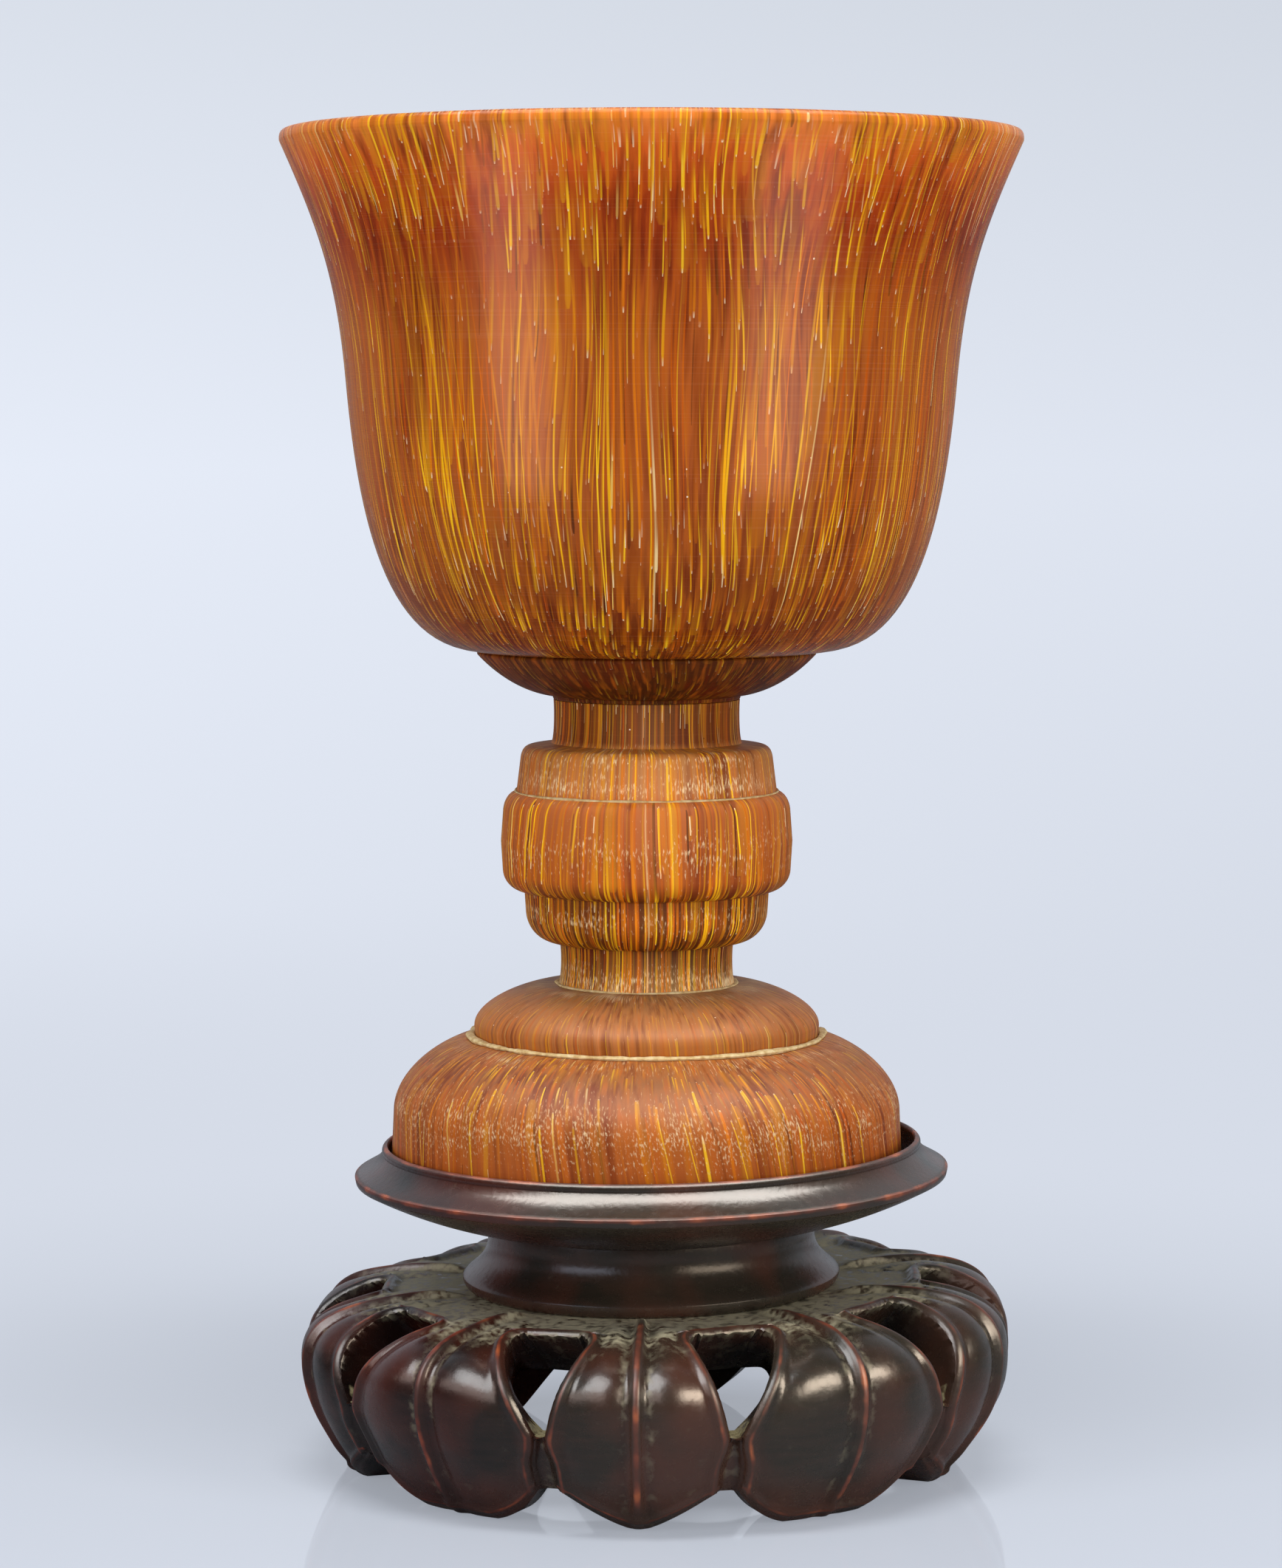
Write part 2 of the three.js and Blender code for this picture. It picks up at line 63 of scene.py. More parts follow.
# %% Camera
PHOTO_HEIGHT = 2123  # pixels
FOCAL_LENGTH = 6071  # pixels
SENSOR = 36.0  # millimetres, on the long side
CAMERA_PLACE = (-0.00112, -0.487, 0.116)  # metres
CAMERA_TILT = 4.88  # degrees below level

lens = bpy.data.cameras.new("photo_camera")
lens.sensor_fit = "VERTICAL"
lens.sensor_height = SENSOR
lens.lens = FOCAL_LENGTH / PHOTO_HEIGHT * SENSOR
lens.clip_start = 0.01
camera = bpy.data.objects.new("photo_camera", lens)
camera.location = CAMERA_PLACE
camera.rotation_euler = (math.radians(90 - CAMERA_TILT), 0, 0)
scene = bpy.context.scene
scene.collection.objects.link(camera)
scene.camera = camera
scene.view_settings.view_transform = "Standard"
print(f"lens {lens.lens:.1f} mm at {CAMERA_PLACE}")

# %% [markdown]
# ## Pieces turned on a lathe
#
# Seven of the eight pieces are turned, so each is a half outline of radius and height that is spun
# round its axis. A screw modifier could spin a drawn curve, but a small function keeps the seam closed
# and the spacing of the points even, and it lets the sharp edges be eased as a maker's file would ease
# them.

# %% Outlines
CURVE_STEPS = 28


def cubic(corners, t):
    """Points of a cubic curve, given by its ends and two handles, at shares t of the way."""
    start, first, second, end = np.array(corners, float)
    t = t[:, None]
    s = 1 - t
    return s**3 * start + 3 * s * s * t * first + 3 * s * t * t * second + t**3 * end


class Outline:
    """A half outline in millimetres of radius and height, drawn from point to point."""

    def __init__(self, radius, height):
        self.points = [np.array((radius, height), float)]

    def line(self, radius, height):
        self.points.append(np.array((radius, height), float))
        return self

    def curve(self, first, second, end):
        """A cubic curve with two handles."""
        t = np.linspace(0, 1, CURVE_STEPS + 1)[1:]
        self.points += list(cubic((self.points[-1], first, second, end), t))
        return self

    def round_off(self, corner, first, second, end):
        """A curve that rounds off a corner, with its handles and its end given from the corner."""
        corner = np.array(corner, float)
        return self.curve(corner + first, corner + second, corner + end)


# %% Eased edges and even points
EASE_STEPS = 4
EASE_REACH = 0.45  # share of a side that easing may take
SHARP_TURN = math.radians(24)
POINT_SPACING = 0.5


def eased(points, radius):
    """Rounds each corner that turns sharply."""
    soft = [points[0]]
    for before, corner, after in zip(points, points[1:], points[2:]):
        back = before - corner
        ahead = after - corner
        reach_back = np.linalg.norm(back)
        reach_ahead = np.linalg.norm(ahead)
        cosine = np.dot(back, ahead) / (reach_back * reach_ahead)
        turn = math.pi - math.acos(max(-1.0, min(1.0, cosine)))
        if turn < SHARP_TURN:
            soft.append(corner)
            continue
        start = corner + back / reach_back * min(radius, reach_back * EASE_REACH)
        end = corner + ahead / reach_ahead * min(radius, reach_ahead * EASE_REACH)
        for t in np.linspace(0, 1, EASE_STEPS + 1):
            soft.append((1 - t) ** 2 * start + 2 * t * (1 - t) * corner + t * t * end)
    soft.append(points[-1])
    return soft


def spaced(points):
    """Adds points so that no two lie further apart than the spacing."""
    filled = [points[0]]
    for start, end in zip(points, points[1:]):
        steps = max(1, math.ceil(np.linalg.norm(end - start) / POINT_SPACING))
        for step in range(1, steps + 1):
            filled.append(start + (end - start) * step / steps)
    return filled


# %% Turning
TURN_STEPS = 240


def spin(outline, axis, ease, ring):
    """Spins an outline round the axis. A ring's outline closes on itself, the others end on the axis."""
    points = outline.points + outline.points[:1] if ring else outline.points
    points = np.array(spaced(eased(points, ease)))
    if ring:
        points = points[:-1]
    profile = points if ring else points[1:-1]
    angles = np.linspace(0, 2 * math.pi, TURN_STEPS, endpoint=False)
    x = np.outer(profile[:, 0], np.cos(angles)) + axis
    y = np.outer(profile[:, 0], np.sin(angles))
    z = np.repeat(profile[:, 1:], TURN_STEPS, axis=1)
    vertices = np.stack((x, y, z), axis=-1).reshape(-1, 3)
    rings = len(profile)
    here = np.arange(TURN_STEPS)
    beside = (here + 1) % TURN_STEPS
    faces = []
    for row in range(rings if ring else rings - 1):
        low = row * TURN_STEPS
        high = (row + 1) % rings * TURN_STEPS
        faces += np.stack((low + here, low + beside, high + beside, high + here), axis=1).tolist()
    if not ring:
        bottom = len(vertices)
        last = (rings - 1) * TURN_STEPS
        poles = [(axis, 0, points[0][1]), (axis, 0, points[-1][1])]
        vertices = np.vstack((vertices, poles))
        faces += [(bottom, int(b), int(a)) for a, b in zip(here, beside)]
        faces += [(bottom + 1, int(last + a), int(last + b)) for a, b in zip(here, beside)]
    return vertices, faces


# %% Pieces
MM = 0.001
SHADE_ANGLE = math.radians(40)


def make_piece(name, vertices, faces, body, node=None):
    """A smooth mesh piece, from millimetres, that rides on a body and may stand for a CAD node."""
    mesh = bpy.data.meshes.new(name)
    mesh.from_pydata((np.asarray(vertices) * MM).tolist(), [], faces)
    mesh.shade_smooth()
    mesh.set_sharp_from_angle(angle=SHADE_ANGLE)
    made = bpy.data.objects.new(name, mesh)
    scene.collection.objects.link(made)
    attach(made, body)
    if node:
        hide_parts(node)
    print(f"{name}: {len(mesh.vertices)} points, {len(mesh.polygons)} faces")
    return made


def turned(name, outline, body, axis=0.0, ease=0.2, ring=False, shape=None):
    """A turned piece in the place of the CAD node of that name. A shape function may move its points."""
    vertices, faces = spin(outline, axis, ease, ring)
    if shape:
        vertices = shape(vertices)
    return make_piece("turned_" + name, vertices, faces, body, name)


# %% [markdown]
# ## Levels and radii from the frame
#
# Each section starts where the one below it ends. Those levels, and the widest radius of each section,
# are read from the CAD nodes. The stem and foot of the real cup stand half a millimetre to the left of
# the bowl, so their axis is read as well.

# %% Levels and radii


def heights(node):
    low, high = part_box(node)
    return low.z / MM, high.z / MM


def widest(node):
    low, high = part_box(node)
    return (high.x - low.x) / 2 / MM


spigot_bottom, rim_top = heights("bowl")
collar_bottom, bowl_bottom = heights("bowl_collar")
tenon_bottom = heights("stem")[0]
foot_joint, foot_top = heights("foot_upper")
recess_floor = heights("foot_lower")[0]
tray_bottom, tray_top = heights("stand_tray")
hub_bottom, tray_tenon_top = heights("stand_waist")
foot_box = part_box("foot_lower")
stem_axis = (foot_box[0].x + foot_box[1].x) / 2 / MM
lip_radius = widest("bowl")
collar_radius = widest("bowl_collar")
knop_radius = widest("stem")
foot_upper_radius = widest("foot_upper")
foot_radius = widest("foot_lower")
tray_radius = widest("stand_tray")
waist_radius = widest("stand_waist")
print(f"rim at {rim_top:.1f} mm, recess at {recess_floor:.1f} mm, stem {stem_axis:.2f} mm off the axis")

# %% [markdown]
# ## The cup's sections
#
# The bowl has a flared lip, a nearly upright wall and a belly drawn in to a flat seat, and its spigot
# goes down through the collar into the stem. The knop has three tiers with eased edges, each a little
# narrower at one end. Below it two domed tiers make the foot.

# %% Bowl and collar
LIP_THICKNESS = 1.8
LIP_ROUND = 1.2
BOWL_WALL = 2.7
BOWL_FLOOR = bowl_bottom + 5.0
WALL_RADIUS = 33.0
WALL_LEVEL = bowl_bottom + 28.9
SEAT_RADIUS = collar_radius + 0.1
SPIGOT_RADIUS = 6.0
SPIGOT_BORE = 6.8
NECK_RADIUS = 10.15
FLARE = (0.93, 10.8)  # handle that lifts the wall into the flare
LIP_LEAN = (4.4, 9.8)  # handle that leans the flare out at the lip
BELLY = (1.2, 13.9)  # handle that draws the wall in to the belly
BELLY_REACH = 10.4
WELL_RADIUS = 13.0

lip_level = rim_top - LIP_ROUND
lip_inside = lip_radius - LIP_THICKNESS
bowl_outline = (
    Outline(0, spigot_bottom)
    .line(SPIGOT_RADIUS, spigot_bottom)
    .line(SPIGOT_RADIUS, bowl_bottom)
    .line(SEAT_RADIUS, bowl_bottom)
    .curve((SEAT_RADIUS + BELLY_REACH, bowl_bottom), (WALL_RADIUS - BELLY[0], WALL_LEVEL - BELLY[1]),
           (WALL_RADIUS, WALL_LEVEL))
    .curve(
        (WALL_RADIUS + FLARE[0], WALL_LEVEL + FLARE[1]),
        (lip_radius - LIP_LEAN[0], lip_level - LIP_LEAN[1]),
        (lip_radius, lip_level),
    )
    .round_off((lip_radius, rim_top), (0.1, -0.2), (-0.4, 0), (-0.9, 0))
    .round_off((lip_inside, rim_top), (0.4, 0), (-0.1, -0.2), (0, -LIP_ROUND))
    .curve(
        (lip_inside - LIP_LEAN[0], lip_level - LIP_LEAN[1]),
        (WALL_RADIUS - BOWL_WALL + FLARE[0], WALL_LEVEL + FLARE[1]),
        (WALL_RADIUS - BOWL_WALL, WALL_LEVEL),
    )
    .curve(
        (WALL_RADIUS - BOWL_WALL - BELLY[0], WALL_LEVEL - BELLY[1]),
        (SEAT_RADIUS + BELLY_REACH - BOWL_WALL, BOWL_FLOOR),
        (WELL_RADIUS, BOWL_FLOOR),
    )
    .line(0, BOWL_FLOOR)
)
bowl = turned("bowl", bowl_outline, "cup")

collar_outline = (
    Outline(SPIGOT_BORE, collar_bottom)
    .line(NECK_RADIUS + 0.02, collar_bottom)
    .line(NECK_RADIUS + 0.1, collar_bottom + 0.45)
    .curve((NECK_RADIUS + 2.7, collar_bottom + 0.6), (collar_radius - 2.5, bowl_bottom - 3.1),
           (collar_radius, bowl_bottom - 0.35))
    .line(collar_radius - 0.25, bowl_bottom)
    .line(SPIGOT_BORE, bowl_bottom)
)
collar = turned("bowl_collar", collar_outline, "cup", stem_axis, ring=True)

# %% Stem with its knop
LOWER_NECK_RADIUS = 9.5
TENON_RADIUS = 5.5
TENON_BORE = 5.8
LOW_TIER_RADIUS = 13.35
TOP_TIER_RADIUS = 14.2
KNOP_BOTTOM = foot_top + 4.7
MID_TIER_BOTTOM = KNOP_BOTTOM + 5.65
TOP_TIER_BOTTOM = MID_TIER_BOTTOM + 10.7
KNOP_TOP = TOP_TIER_BOTTOM + 5.35
GLUE_GAP = 0.3

mid_tier_middle = (MID_TIER_BOTTOM + TOP_TIER_BOTTOM) / 2
stem_outline = (
    Outline(0, tenon_bottom)
    .line(TENON_RADIUS, tenon_bottom)
    .line(TENON_RADIUS, foot_top)
    .line(LOWER_NECK_RADIUS + 0.1, foot_top)
    .curve((LOWER_NECK_RADIUS - 0.2, foot_top + 1.2), (LOWER_NECK_RADIUS - 0.2, KNOP_BOTTOM - 1.2),
           (LOWER_NECK_RADIUS, KNOP_BOTTOM))
    .line(LOW_TIER_RADIUS - 3.2, KNOP_BOTTOM)
    .round_off((LOW_TIER_RADIUS, KNOP_BOTTOM), (-1.5, 0.1), (-0.25, 1.5), (-0.15, 3.3))
    .line(LOW_TIER_RADIUS, MID_TIER_BOTTOM)
    .line(knop_radius - 2.1, MID_TIER_BOTTOM)
    .round_off((knop_radius, MID_TIER_BOTTOM), (-1.1, 0.15), (-0.3, 1.0), (-0.2, 2.1))
    .line(knop_radius, mid_tier_middle)
    .line(knop_radius - 0.25, TOP_TIER_BOTTOM - 1.9)
    .round_off((knop_radius, TOP_TIER_BOTTOM), (-0.35, -1.0), (-0.8, -0.2), (-1.5, 0))
    .line(TOP_TIER_RADIUS, TOP_TIER_BOTTOM)
    .line(TOP_TIER_RADIUS - 0.45, KNOP_TOP - 1.7)
    .round_off((TOP_TIER_RADIUS, KNOP_TOP), (-0.55, -0.8), (-0.9, -0.4), (-1.4, -0.3))
    .line(NECK_RADIUS + 0.25, KNOP_TOP)
    .curve((NECK_RADIUS - 0.1, KNOP_TOP + 0.5), (NECK_RADIUS - 0.1, collar_bottom - 1.0),
           (NECK_RADIUS, collar_bottom))
    .line(SPIGOT_BORE, collar_bottom)
    .line(SPIGOT_BORE, spigot_bottom - GLUE_GAP)
    .line(0, spigot_bottom - GLUE_GAP)
)
stem = turned("stem", stem_outline, "cup", stem_axis, ease=0.25)

# %% Foot
FOOT_RELIEF = 2.4
FOOT_RING_WIDTH = 8.0
FOOT_UPPER_EDGE = 1.2
FOOT_WALL = 6.4
CROWN_RADIUS = 11.5
CROWN_HANDLE = 15.0
DOME_HANDLE = 23.5

foot_upper_outline = (
    Outline(TENON_BORE, foot_joint)
    .line(foot_upper_radius - 0.1, foot_joint)
    .line(foot_upper_radius, foot_joint + FOOT_UPPER_EDGE)
    .curve((foot_upper_radius, foot_joint + 3.2), (CROWN_HANDLE, foot_top - 0.5),
           (CROWN_RADIUS, foot_top - 0.03))
    .line(LOWER_NECK_RADIUS, foot_top)
    .line(TENON_BORE, foot_top)
)
foot_upper = turned("foot_upper", foot_upper_outline, "cup", stem_axis, ring=True)

dome_radius = foot_radius - 0.3
foot_lower_outline = (
    Outline(0, recess_floor + FOOT_RELIEF)
    .line(foot_radius - FOOT_RING_WIDTH, recess_floor + FOOT_RELIEF)
    .line(foot_radius - FOOT_RING_WIDTH, recess_floor)
    .line(foot_radius, recess_floor)
    .line(dome_radius, recess_floor + FOOT_WALL)
    .curve((dome_radius, recess_floor + 10.0), (DOME_HANDLE, foot_joint - 0.8),
           (foot_upper_radius + 0.05, foot_joint))
    .line(TENON_BORE, foot_joint)
    .line(TENON_BORE, tenon_bottom - GLUE_GAP)
    .line(0, tenon_bottom - GLUE_GAP)
)
foot_lower = turned("foot_lower", foot_lower_outline, "cup", stem_axis)

# %% [markdown]
# ## The stand's tray and waist
#
# The tray is a thin dished plate. A small bead runs round its recess, a hollow moulding falls from the
# bead to a crisp edge, and the underside curves back in to the waist. The waist is a spool that flares
# to a rounded foot on the leaf. Both were turned from one kind of dark wood and waxed. The old stand
# has warped a little: its right side is about a millimetre higher than its left, so one function leans
# what was turned or carved true.

# %% Lean of the stand
LEAN = math.tan(math.radians(1.0))
LEAN_LOW = 4.0
LEAN_HIGH = 16.0
RECESS_RADIUS = 28.8


def leaned(points):
    """Lifts the right side of the stand and lowers its left, more with the height. The tips stay level."""
    share = np.clip((points[:, 2] - LEAN_LOW) / (LEAN_HIGH - LEAN_LOW), 0, 1)
    moved = points.copy()
    moved[:, 2] += LEAN * points[:, 0] * share * share * (3 - 2 * share)
    return moved


def leaned_tray(points):
    """Leans the tray, and leaves the floor of its recess level under the cup."""
    radius = np.hypot(points[:, 0], points[:, 1])
    in_recess = (radius < RECESS_RADIUS + 0.01) & (points[:, 2] > recess_floor - 0.01)
    share = np.clip((points[:, 2] - recess_floor) / (tray_top - recess_floor), 0, 1)
    share = np.where(in_recess, share, 1)[:, None]
    return points + (leaned(points) - points) * share


# %% Tray and waist
BEAD_RADIUS = 29.4
UNDERSIDE_HANDLES = (23.2, 27.7)
WAIST_TOP_RADIUS = 17.95
TRAY_TENON_RADIUS = 8.95
BASE_TENON_RADIUS = 12.0
TRAY_EDGE_TOP = tray_top - 3.2
TRAY_EDGE_BOTTOM = TRAY_EDGE_TOP - 0.8
LEAF_TOP = 19.4

tray_outline = (
    Outline(0, tray_tenon_top + GLUE_GAP)
    .line(TRAY_TENON_RADIUS + GLUE_GAP, tray_tenon_top + GLUE_GAP)
    .line(TRAY_TENON_RADIUS + GLUE_GAP, tray_bottom)
    .line(WAIST_TOP_RADIUS + 0.1, tray_bottom)
    .curve((UNDERSIDE_HANDLES[0], tray_bottom + 1.0), (UNDERSIDE_HANDLES[1], tray_bottom + 2.5),
           (tray_radius - 0.15, TRAY_EDGE_BOTTOM))
    .line(tray_radius, TRAY_EDGE_TOP)
    .curve((tray_radius - 1.1, TRAY_EDGE_TOP + 0.65), (BEAD_RADIUS + 0.75, TRAY_EDGE_TOP + 1.1),
           (BEAD_RADIUS + 0.05, tray_top - 0.85))
    .round_off((BEAD_RADIUS, tray_top), (0.25, -0.3), (-0.1, 0), (-0.45, 0))
    .round_off((RECESS_RADIUS, tray_top), (0.2, 0), (0, -0.1), (0, -0.5))
    .line(RECESS_RADIUS, recess_floor)
    .line(0, recess_floor)
)
tray = turned("stand_tray", tray_outline, "stand", ease=0.16, shape=leaned_tray)

waist_outline = (
    Outline(0, hub_bottom)
    .line(BASE_TENON_RADIUS, hub_bottom)
    .line(BASE_TENON_RADIUS, LEAF_TOP)
    .line(waist_radius - 1.0, LEAF_TOP)
    .round_off((waist_radius, LEAF_TOP), (-0.35, 0.15), (0, 0.7), (0, 1.35))
    .curve((waist_radius - 0.3, LEAF_TOP + 2.2), (WAIST_TOP_RADIUS - 0.35, LEAF_TOP + 3.1),
           (WAIST_TOP_RADIUS, tray_bottom - 0.9))
    .line(WAIST_TOP_RADIUS - 0.05, tray_bottom)
    .line(TRAY_TENON_RADIUS, tray_bottom)
    .line(TRAY_TENON_RADIUS, tray_tenon_top)
    .line(0, tray_tenon_top)
)
waist = turned("stand_waist", waist_outline, "stand", ease=0.12, shape=leaned)

# %% [markdown]
# ## The lotus-leaf base
#
# The base was carved from one block: five slim petals and five broad ones in turn, each with a rib, a
# pierced opening between each two, hollow underneath. It could be sculpted or cut with booleans, but a
# carver's pattern repeats, so half a petal of each kind is worked out as a height above a plain section
# and laid round the base. Every point knows how far it lies from its petal's border, and that distance
# raises the rolled bead, sinks the strip between petals and later places the wear.

# %% Section of the leaf
PETALS = 10
HALF_PITCH = 180 / PETALS
LEAF_TURN = -2.4  # degrees from the front to the first rib, which is a slim petal's
HUB_BORE = BASE_TENON_RADIUS + GLUE_GAP
HUB_RADIUS = 20.6
LEAF_WALL = 4.5
FOOT_OF_OPENINGS = (38.45, 10.4)  # radius and level
SKIRT_LEAN = 0.23  # radius lost for each millimetre down at the foot of the openings
SHOULDER_REACH = 14.9
SHOULDER_CROWN = 0.5
SHOULDER_DROP = 8.0
SKIRT_FALL = 3.4
TIP_RADIUS = 32.6
TIP_HANDLE = (2.6, 3.7)
LANE_POINTS = 160


def sampled(*stretches):
    """Samples a section evenly along its stretches, lines or curves. Stretch n runs from q = n to n + 1."""
    places = []
    for corners in stretches:
        t = np.linspace(0, 1, 4 * LANE_POINTS)
        if len(corners) == 2:
            points = np.outer(1 - t, corners[0]) + np.outer(t, corners[1])
        else:
            points = cubic(corners, t)
        along = np.concatenate(([0], np.cumsum(np.linalg.norm(np.diff(points, axis=0), axis=1))))
        even = np.linspace(0, along[-1], LANE_POINTS)
        places.append(np.stack([np.interp(even, along, points[:, axis]) for axis in (0, 1)], axis=1))
    q = np.concatenate([number + np.linspace(0, 1, LANE_POINTS) for number in range(len(stretches))])
    return q, np.vstack(places)


foot_r, foot_z = FOOT_OF_OPENINGS


def leaf_section(level, inset, shoulder_handle):
    """A section from the hub's bore, by the shoulder and the skirt, to the tip of a petal.

    The hub's face lies at the level, and the rest is set in from the outside."""
    hub = (HUB_RADIUS, level)
    foot = (foot_r - inset, foot_z)
    return sampled(
        [(HUB_BORE, level), hub],
        [hub, (HUB_RADIUS + SHOULDER_REACH - inset, level + SHOULDER_CROWN), shoulder_handle, foot],
        [
            foot,
            (foot[0] - SKIRT_FALL * SKIRT_LEAN, foot_z - SKIRT_FALL),
            (TIP_RADIUS + TIP_HANDLE[0] - inset, TIP_HANDLE[1]),
            (TIP_RADIUS - inset, 0),
        ],
    )


outer_lane = leaf_section(LEAF_TOP, 0, (foot_r + SHOULDER_DROP * SKIRT_LEAN, foot_z + SHOULDER_DROP))
inner_lane = leaf_section(hub_bottom, LEAF_WALL, (foot_r - LEAF_WALL, (foot_z + hub_bottom) / 2))
print(f"leaf from {HUB_BORE:.1f} mm at the hub to {foot_r:.1f} mm at the feet of its openings")


def on_lane(section, q):
    """Radius and height of a section at q, and the direction that points out of it."""
    table, points = section
    radius = np.interp(q, table, points[:, 0])
    height = np.interp(q, table, points[:, 1])
    step = 0.01
    run = np.interp(q + step, table, points[:, 0]) - np.interp(q - step, table, points[:, 0])
    rise = np.interp(q + step, table, points[:, 1]) - np.interp(q - step, table, points[:, 1])
    length = np.hypot(run, rise)
    return radius, height, -rise / length, run / length


def smooth(x, low, high):
    t = np.clip((x - low) / (high - low), 0, 1)
    return t * t * (3 - 2 * t)


# %% Outline of a petal
PETAL_NARROWING = 2.4  # degrees that a slim petal gives to each neighbour, from the openings' feet down
OPENING_TOP_RADIUS = 29.6
OPENING_HALF_ANGLE = 9.3
OPENING_FOOT_HALF_ANGLE = 0.95
OPENING_CORNER = 0.2  # share of the opening's length that its top corners take
OPENING_TOP_SHARE = 0.6  # share of the opening's width that its straight top edge takes
STRIP_HALF_ANGLE = 2.0
STRIP_WIDENING = 0.55  # share of the skirt over which the strip between petals widens
NOTCH_LEVEL = 4.1
TIP_SINK = 0.4
SLIM_TIP = (13.5, 1.2)  # the lower edge rises to the notch over this angle in degrees, by this power
BROAD_TIP = (18.5, 3.2)
BORDER = 0.06  # the border bead runs this share of the skirt above the lower edge

shoulder = (outer_lane[0] >= 1) & (outer_lane[0] <= 1.6)
opening_start = float(np.interp(OPENING_TOP_RADIUS, outer_lane[1][shoulder, 0], outer_lane[0][shoulder]))
print(f"openings run from q = {opening_start:.3f} to q = 2")


def opening_share(q):
    return np.clip((q - opening_start) / (2 - opening_start), 0, 1)


def gap_middle(q, slim):
    """Angle in degrees from a rib to the middle of the gap beside its petal."""
    narrowing = PETAL_NARROWING * opening_share(q)
    return HALF_PITCH - narrowing if slim else HALF_PITCH + narrowing


def gap_half_angle(q):
    """Half the gap between two petals in degrees: the opening on the shoulder, the strip on the skirt."""
    along = opening_share(q)
    tapered = OPENING_HALF_ANGLE + (OPENING_FOOT_HALF_ANGLE - OPENING_HALF_ANGLE) * along
    corner = np.clip(along / OPENING_CORNER, 0, 1)
    rounding = np.sqrt(1 - (1 - corner) ** 2)
    opening = tapered * (OPENING_TOP_SHARE + (1 - OPENING_TOP_SHARE) * rounding)
    widening = smooth(q - 2, 0, STRIP_WIDENING)
    strip = OPENING_FOOT_HALF_ANGLE + (STRIP_HALF_ANGLE - OPENING_FOOT_HALF_ANGLE) * widening
    return np.where(q > 2, strip, opening)


def lower_edge(angle, slim):
    """Where the section ends at an angle from the rib: a flat tip, rising to the notch between petals."""
    half_angle, power = SLIM_TIP if slim else BROAD_TIP
    rise = np.minimum(1, angle / half_angle) ** power
    level = np.maximum(0, (NOTCH_LEVEL + TIP_SINK) * rise - TIP_SINK)
    skirt = outer_lane[0] >= 2
    return np.interp(-level, -outer_lane[1][skirt, 1], outer_lane[0][skirt])


def in_space(angle, radius, level):
    turn = np.radians(angle)
    return np.stack((radius * np.cos(turn), radius * np.sin(turn), level), axis=-1)


# %% Grid of half a petal
RIB_TO_EDGE = 28
EDGE_TO_MIDDLE = 7
hub_rows = np.linspace(0.0, 0.97, 4)
top_rows = 1 + (opening_start - 1) * np.sin(np.linspace(0, math.pi / 2, 24))
opening_rows = opening_start + (2 - opening_start) * np.linspace(0, 1, 48)[1:] ** 1.5
skirt_rows = 2 + np.sin(np.linspace(0, math.pi / 2, 30))[1:]
row_q = np.concatenate((hub_rows, top_rows, opening_rows, skirt_rows))
opening_row = len(hub_rows) + len(top_rows) - 1
foot_row = opening_row + len(opening_rows)
petal_shares = 0.5 - 0.5 * np.cos(np.linspace(0, math.pi, RIB_TO_EDGE))
gap_shares = (np.arange(1, EDGE_TO_MIDDLE + 1) / EDGE_TO_MIDDLE) ** 1.4
print(f"{len(row_q)} rows, with openings from row {opening_row} to row {foot_row}")


def petal_grid(slim):
    """Half a petal as a grid: rows run down from the hub, columns from the rib to the middle of the gap."""
    middle = gap_middle(row_q, slim)[:, None]
    edge = middle - gap_half_angle(row_q)[:, None]
    angle = np.hstack((edge * petal_shares, edge + (middle - edge) * gap_shares))
    row = np.repeat(row_q[:, None], angle.shape[1], axis=1)
    q = np.where(row > 2, 2 + (row - 2) * (lower_edge(angle, slim) - 2), row)
    return {"slim": slim, "angle": angle, "edge": edge, "row": row, "q": q}


def border_distances(petal):
    """Distances in millimetres of each point from its petal's sides and from its lower border."""
    slim = petal["slim"]
    side_q = np.linspace(opening_start, 2, 160)
    strip_q = 2 + np.linspace(0, 1 - BORDER, 90)
    top_angle = np.linspace(HALF_PITCH, HALF_PITCH - gap_half_angle(np.array([opening_start]))[0], 40)
    side_angle = gap_middle(side_q, slim) - gap_half_angle(side_q)
    strip_angle = gap_middle(strip_q, slim) - gap_half_angle(strip_q)
    low_angle = np.linspace(strip_angle[-1], 0, 160)
    strip_end = 2 + (strip_q - 2) * (lower_edge(strip_angle, slim) - 2)
    low_q = 2 + (1 - BORDER) * (lower_edge(low_angle, slim) - 2)
    lines = [
        (np.concatenate((top_angle, side_angle, strip_angle)),
         np.concatenate((np.full(40, opening_start), side_q, strip_end))),
        (low_angle, low_q),
    ]
    points = in_space(petal["angle"], *on_lane(outer_lane, petal["q"])[:2])
    distances = []
    for line_angle, line_q in lines:
        line = in_space(line_angle, *on_lane(outer_lane, line_q)[:2])
        distances.append(np.linalg.norm(points[:, :, None] - line, axis=3).min(axis=2))
    return distances


# %% Carving
RIB_HEIGHT = 0.85
RIB_WIDTH = 0.55
RIB_START = 0.16
CREASE = 0.12
CREASE_PLACE = 1.35  # from the rib
CREASE_WIDTH = 0.5
PILLOW = 0.55
EDGE_DROP = 0.9
# Each bead: height, its crest's distance from the border, and how far it falls on towards the rib.
SIDE_BEAD = (0.66, 0.72, 1.1)
LOW_BEAD = (0.38, 0.5, 0.9)
STRIP_DEPTH = 0.75
LIP_TUCK = 0.4
UNDERCUT = 0.75  # how far the openings widen inward, as a share of their half angle
UNDERCUT_TOP = 0.17


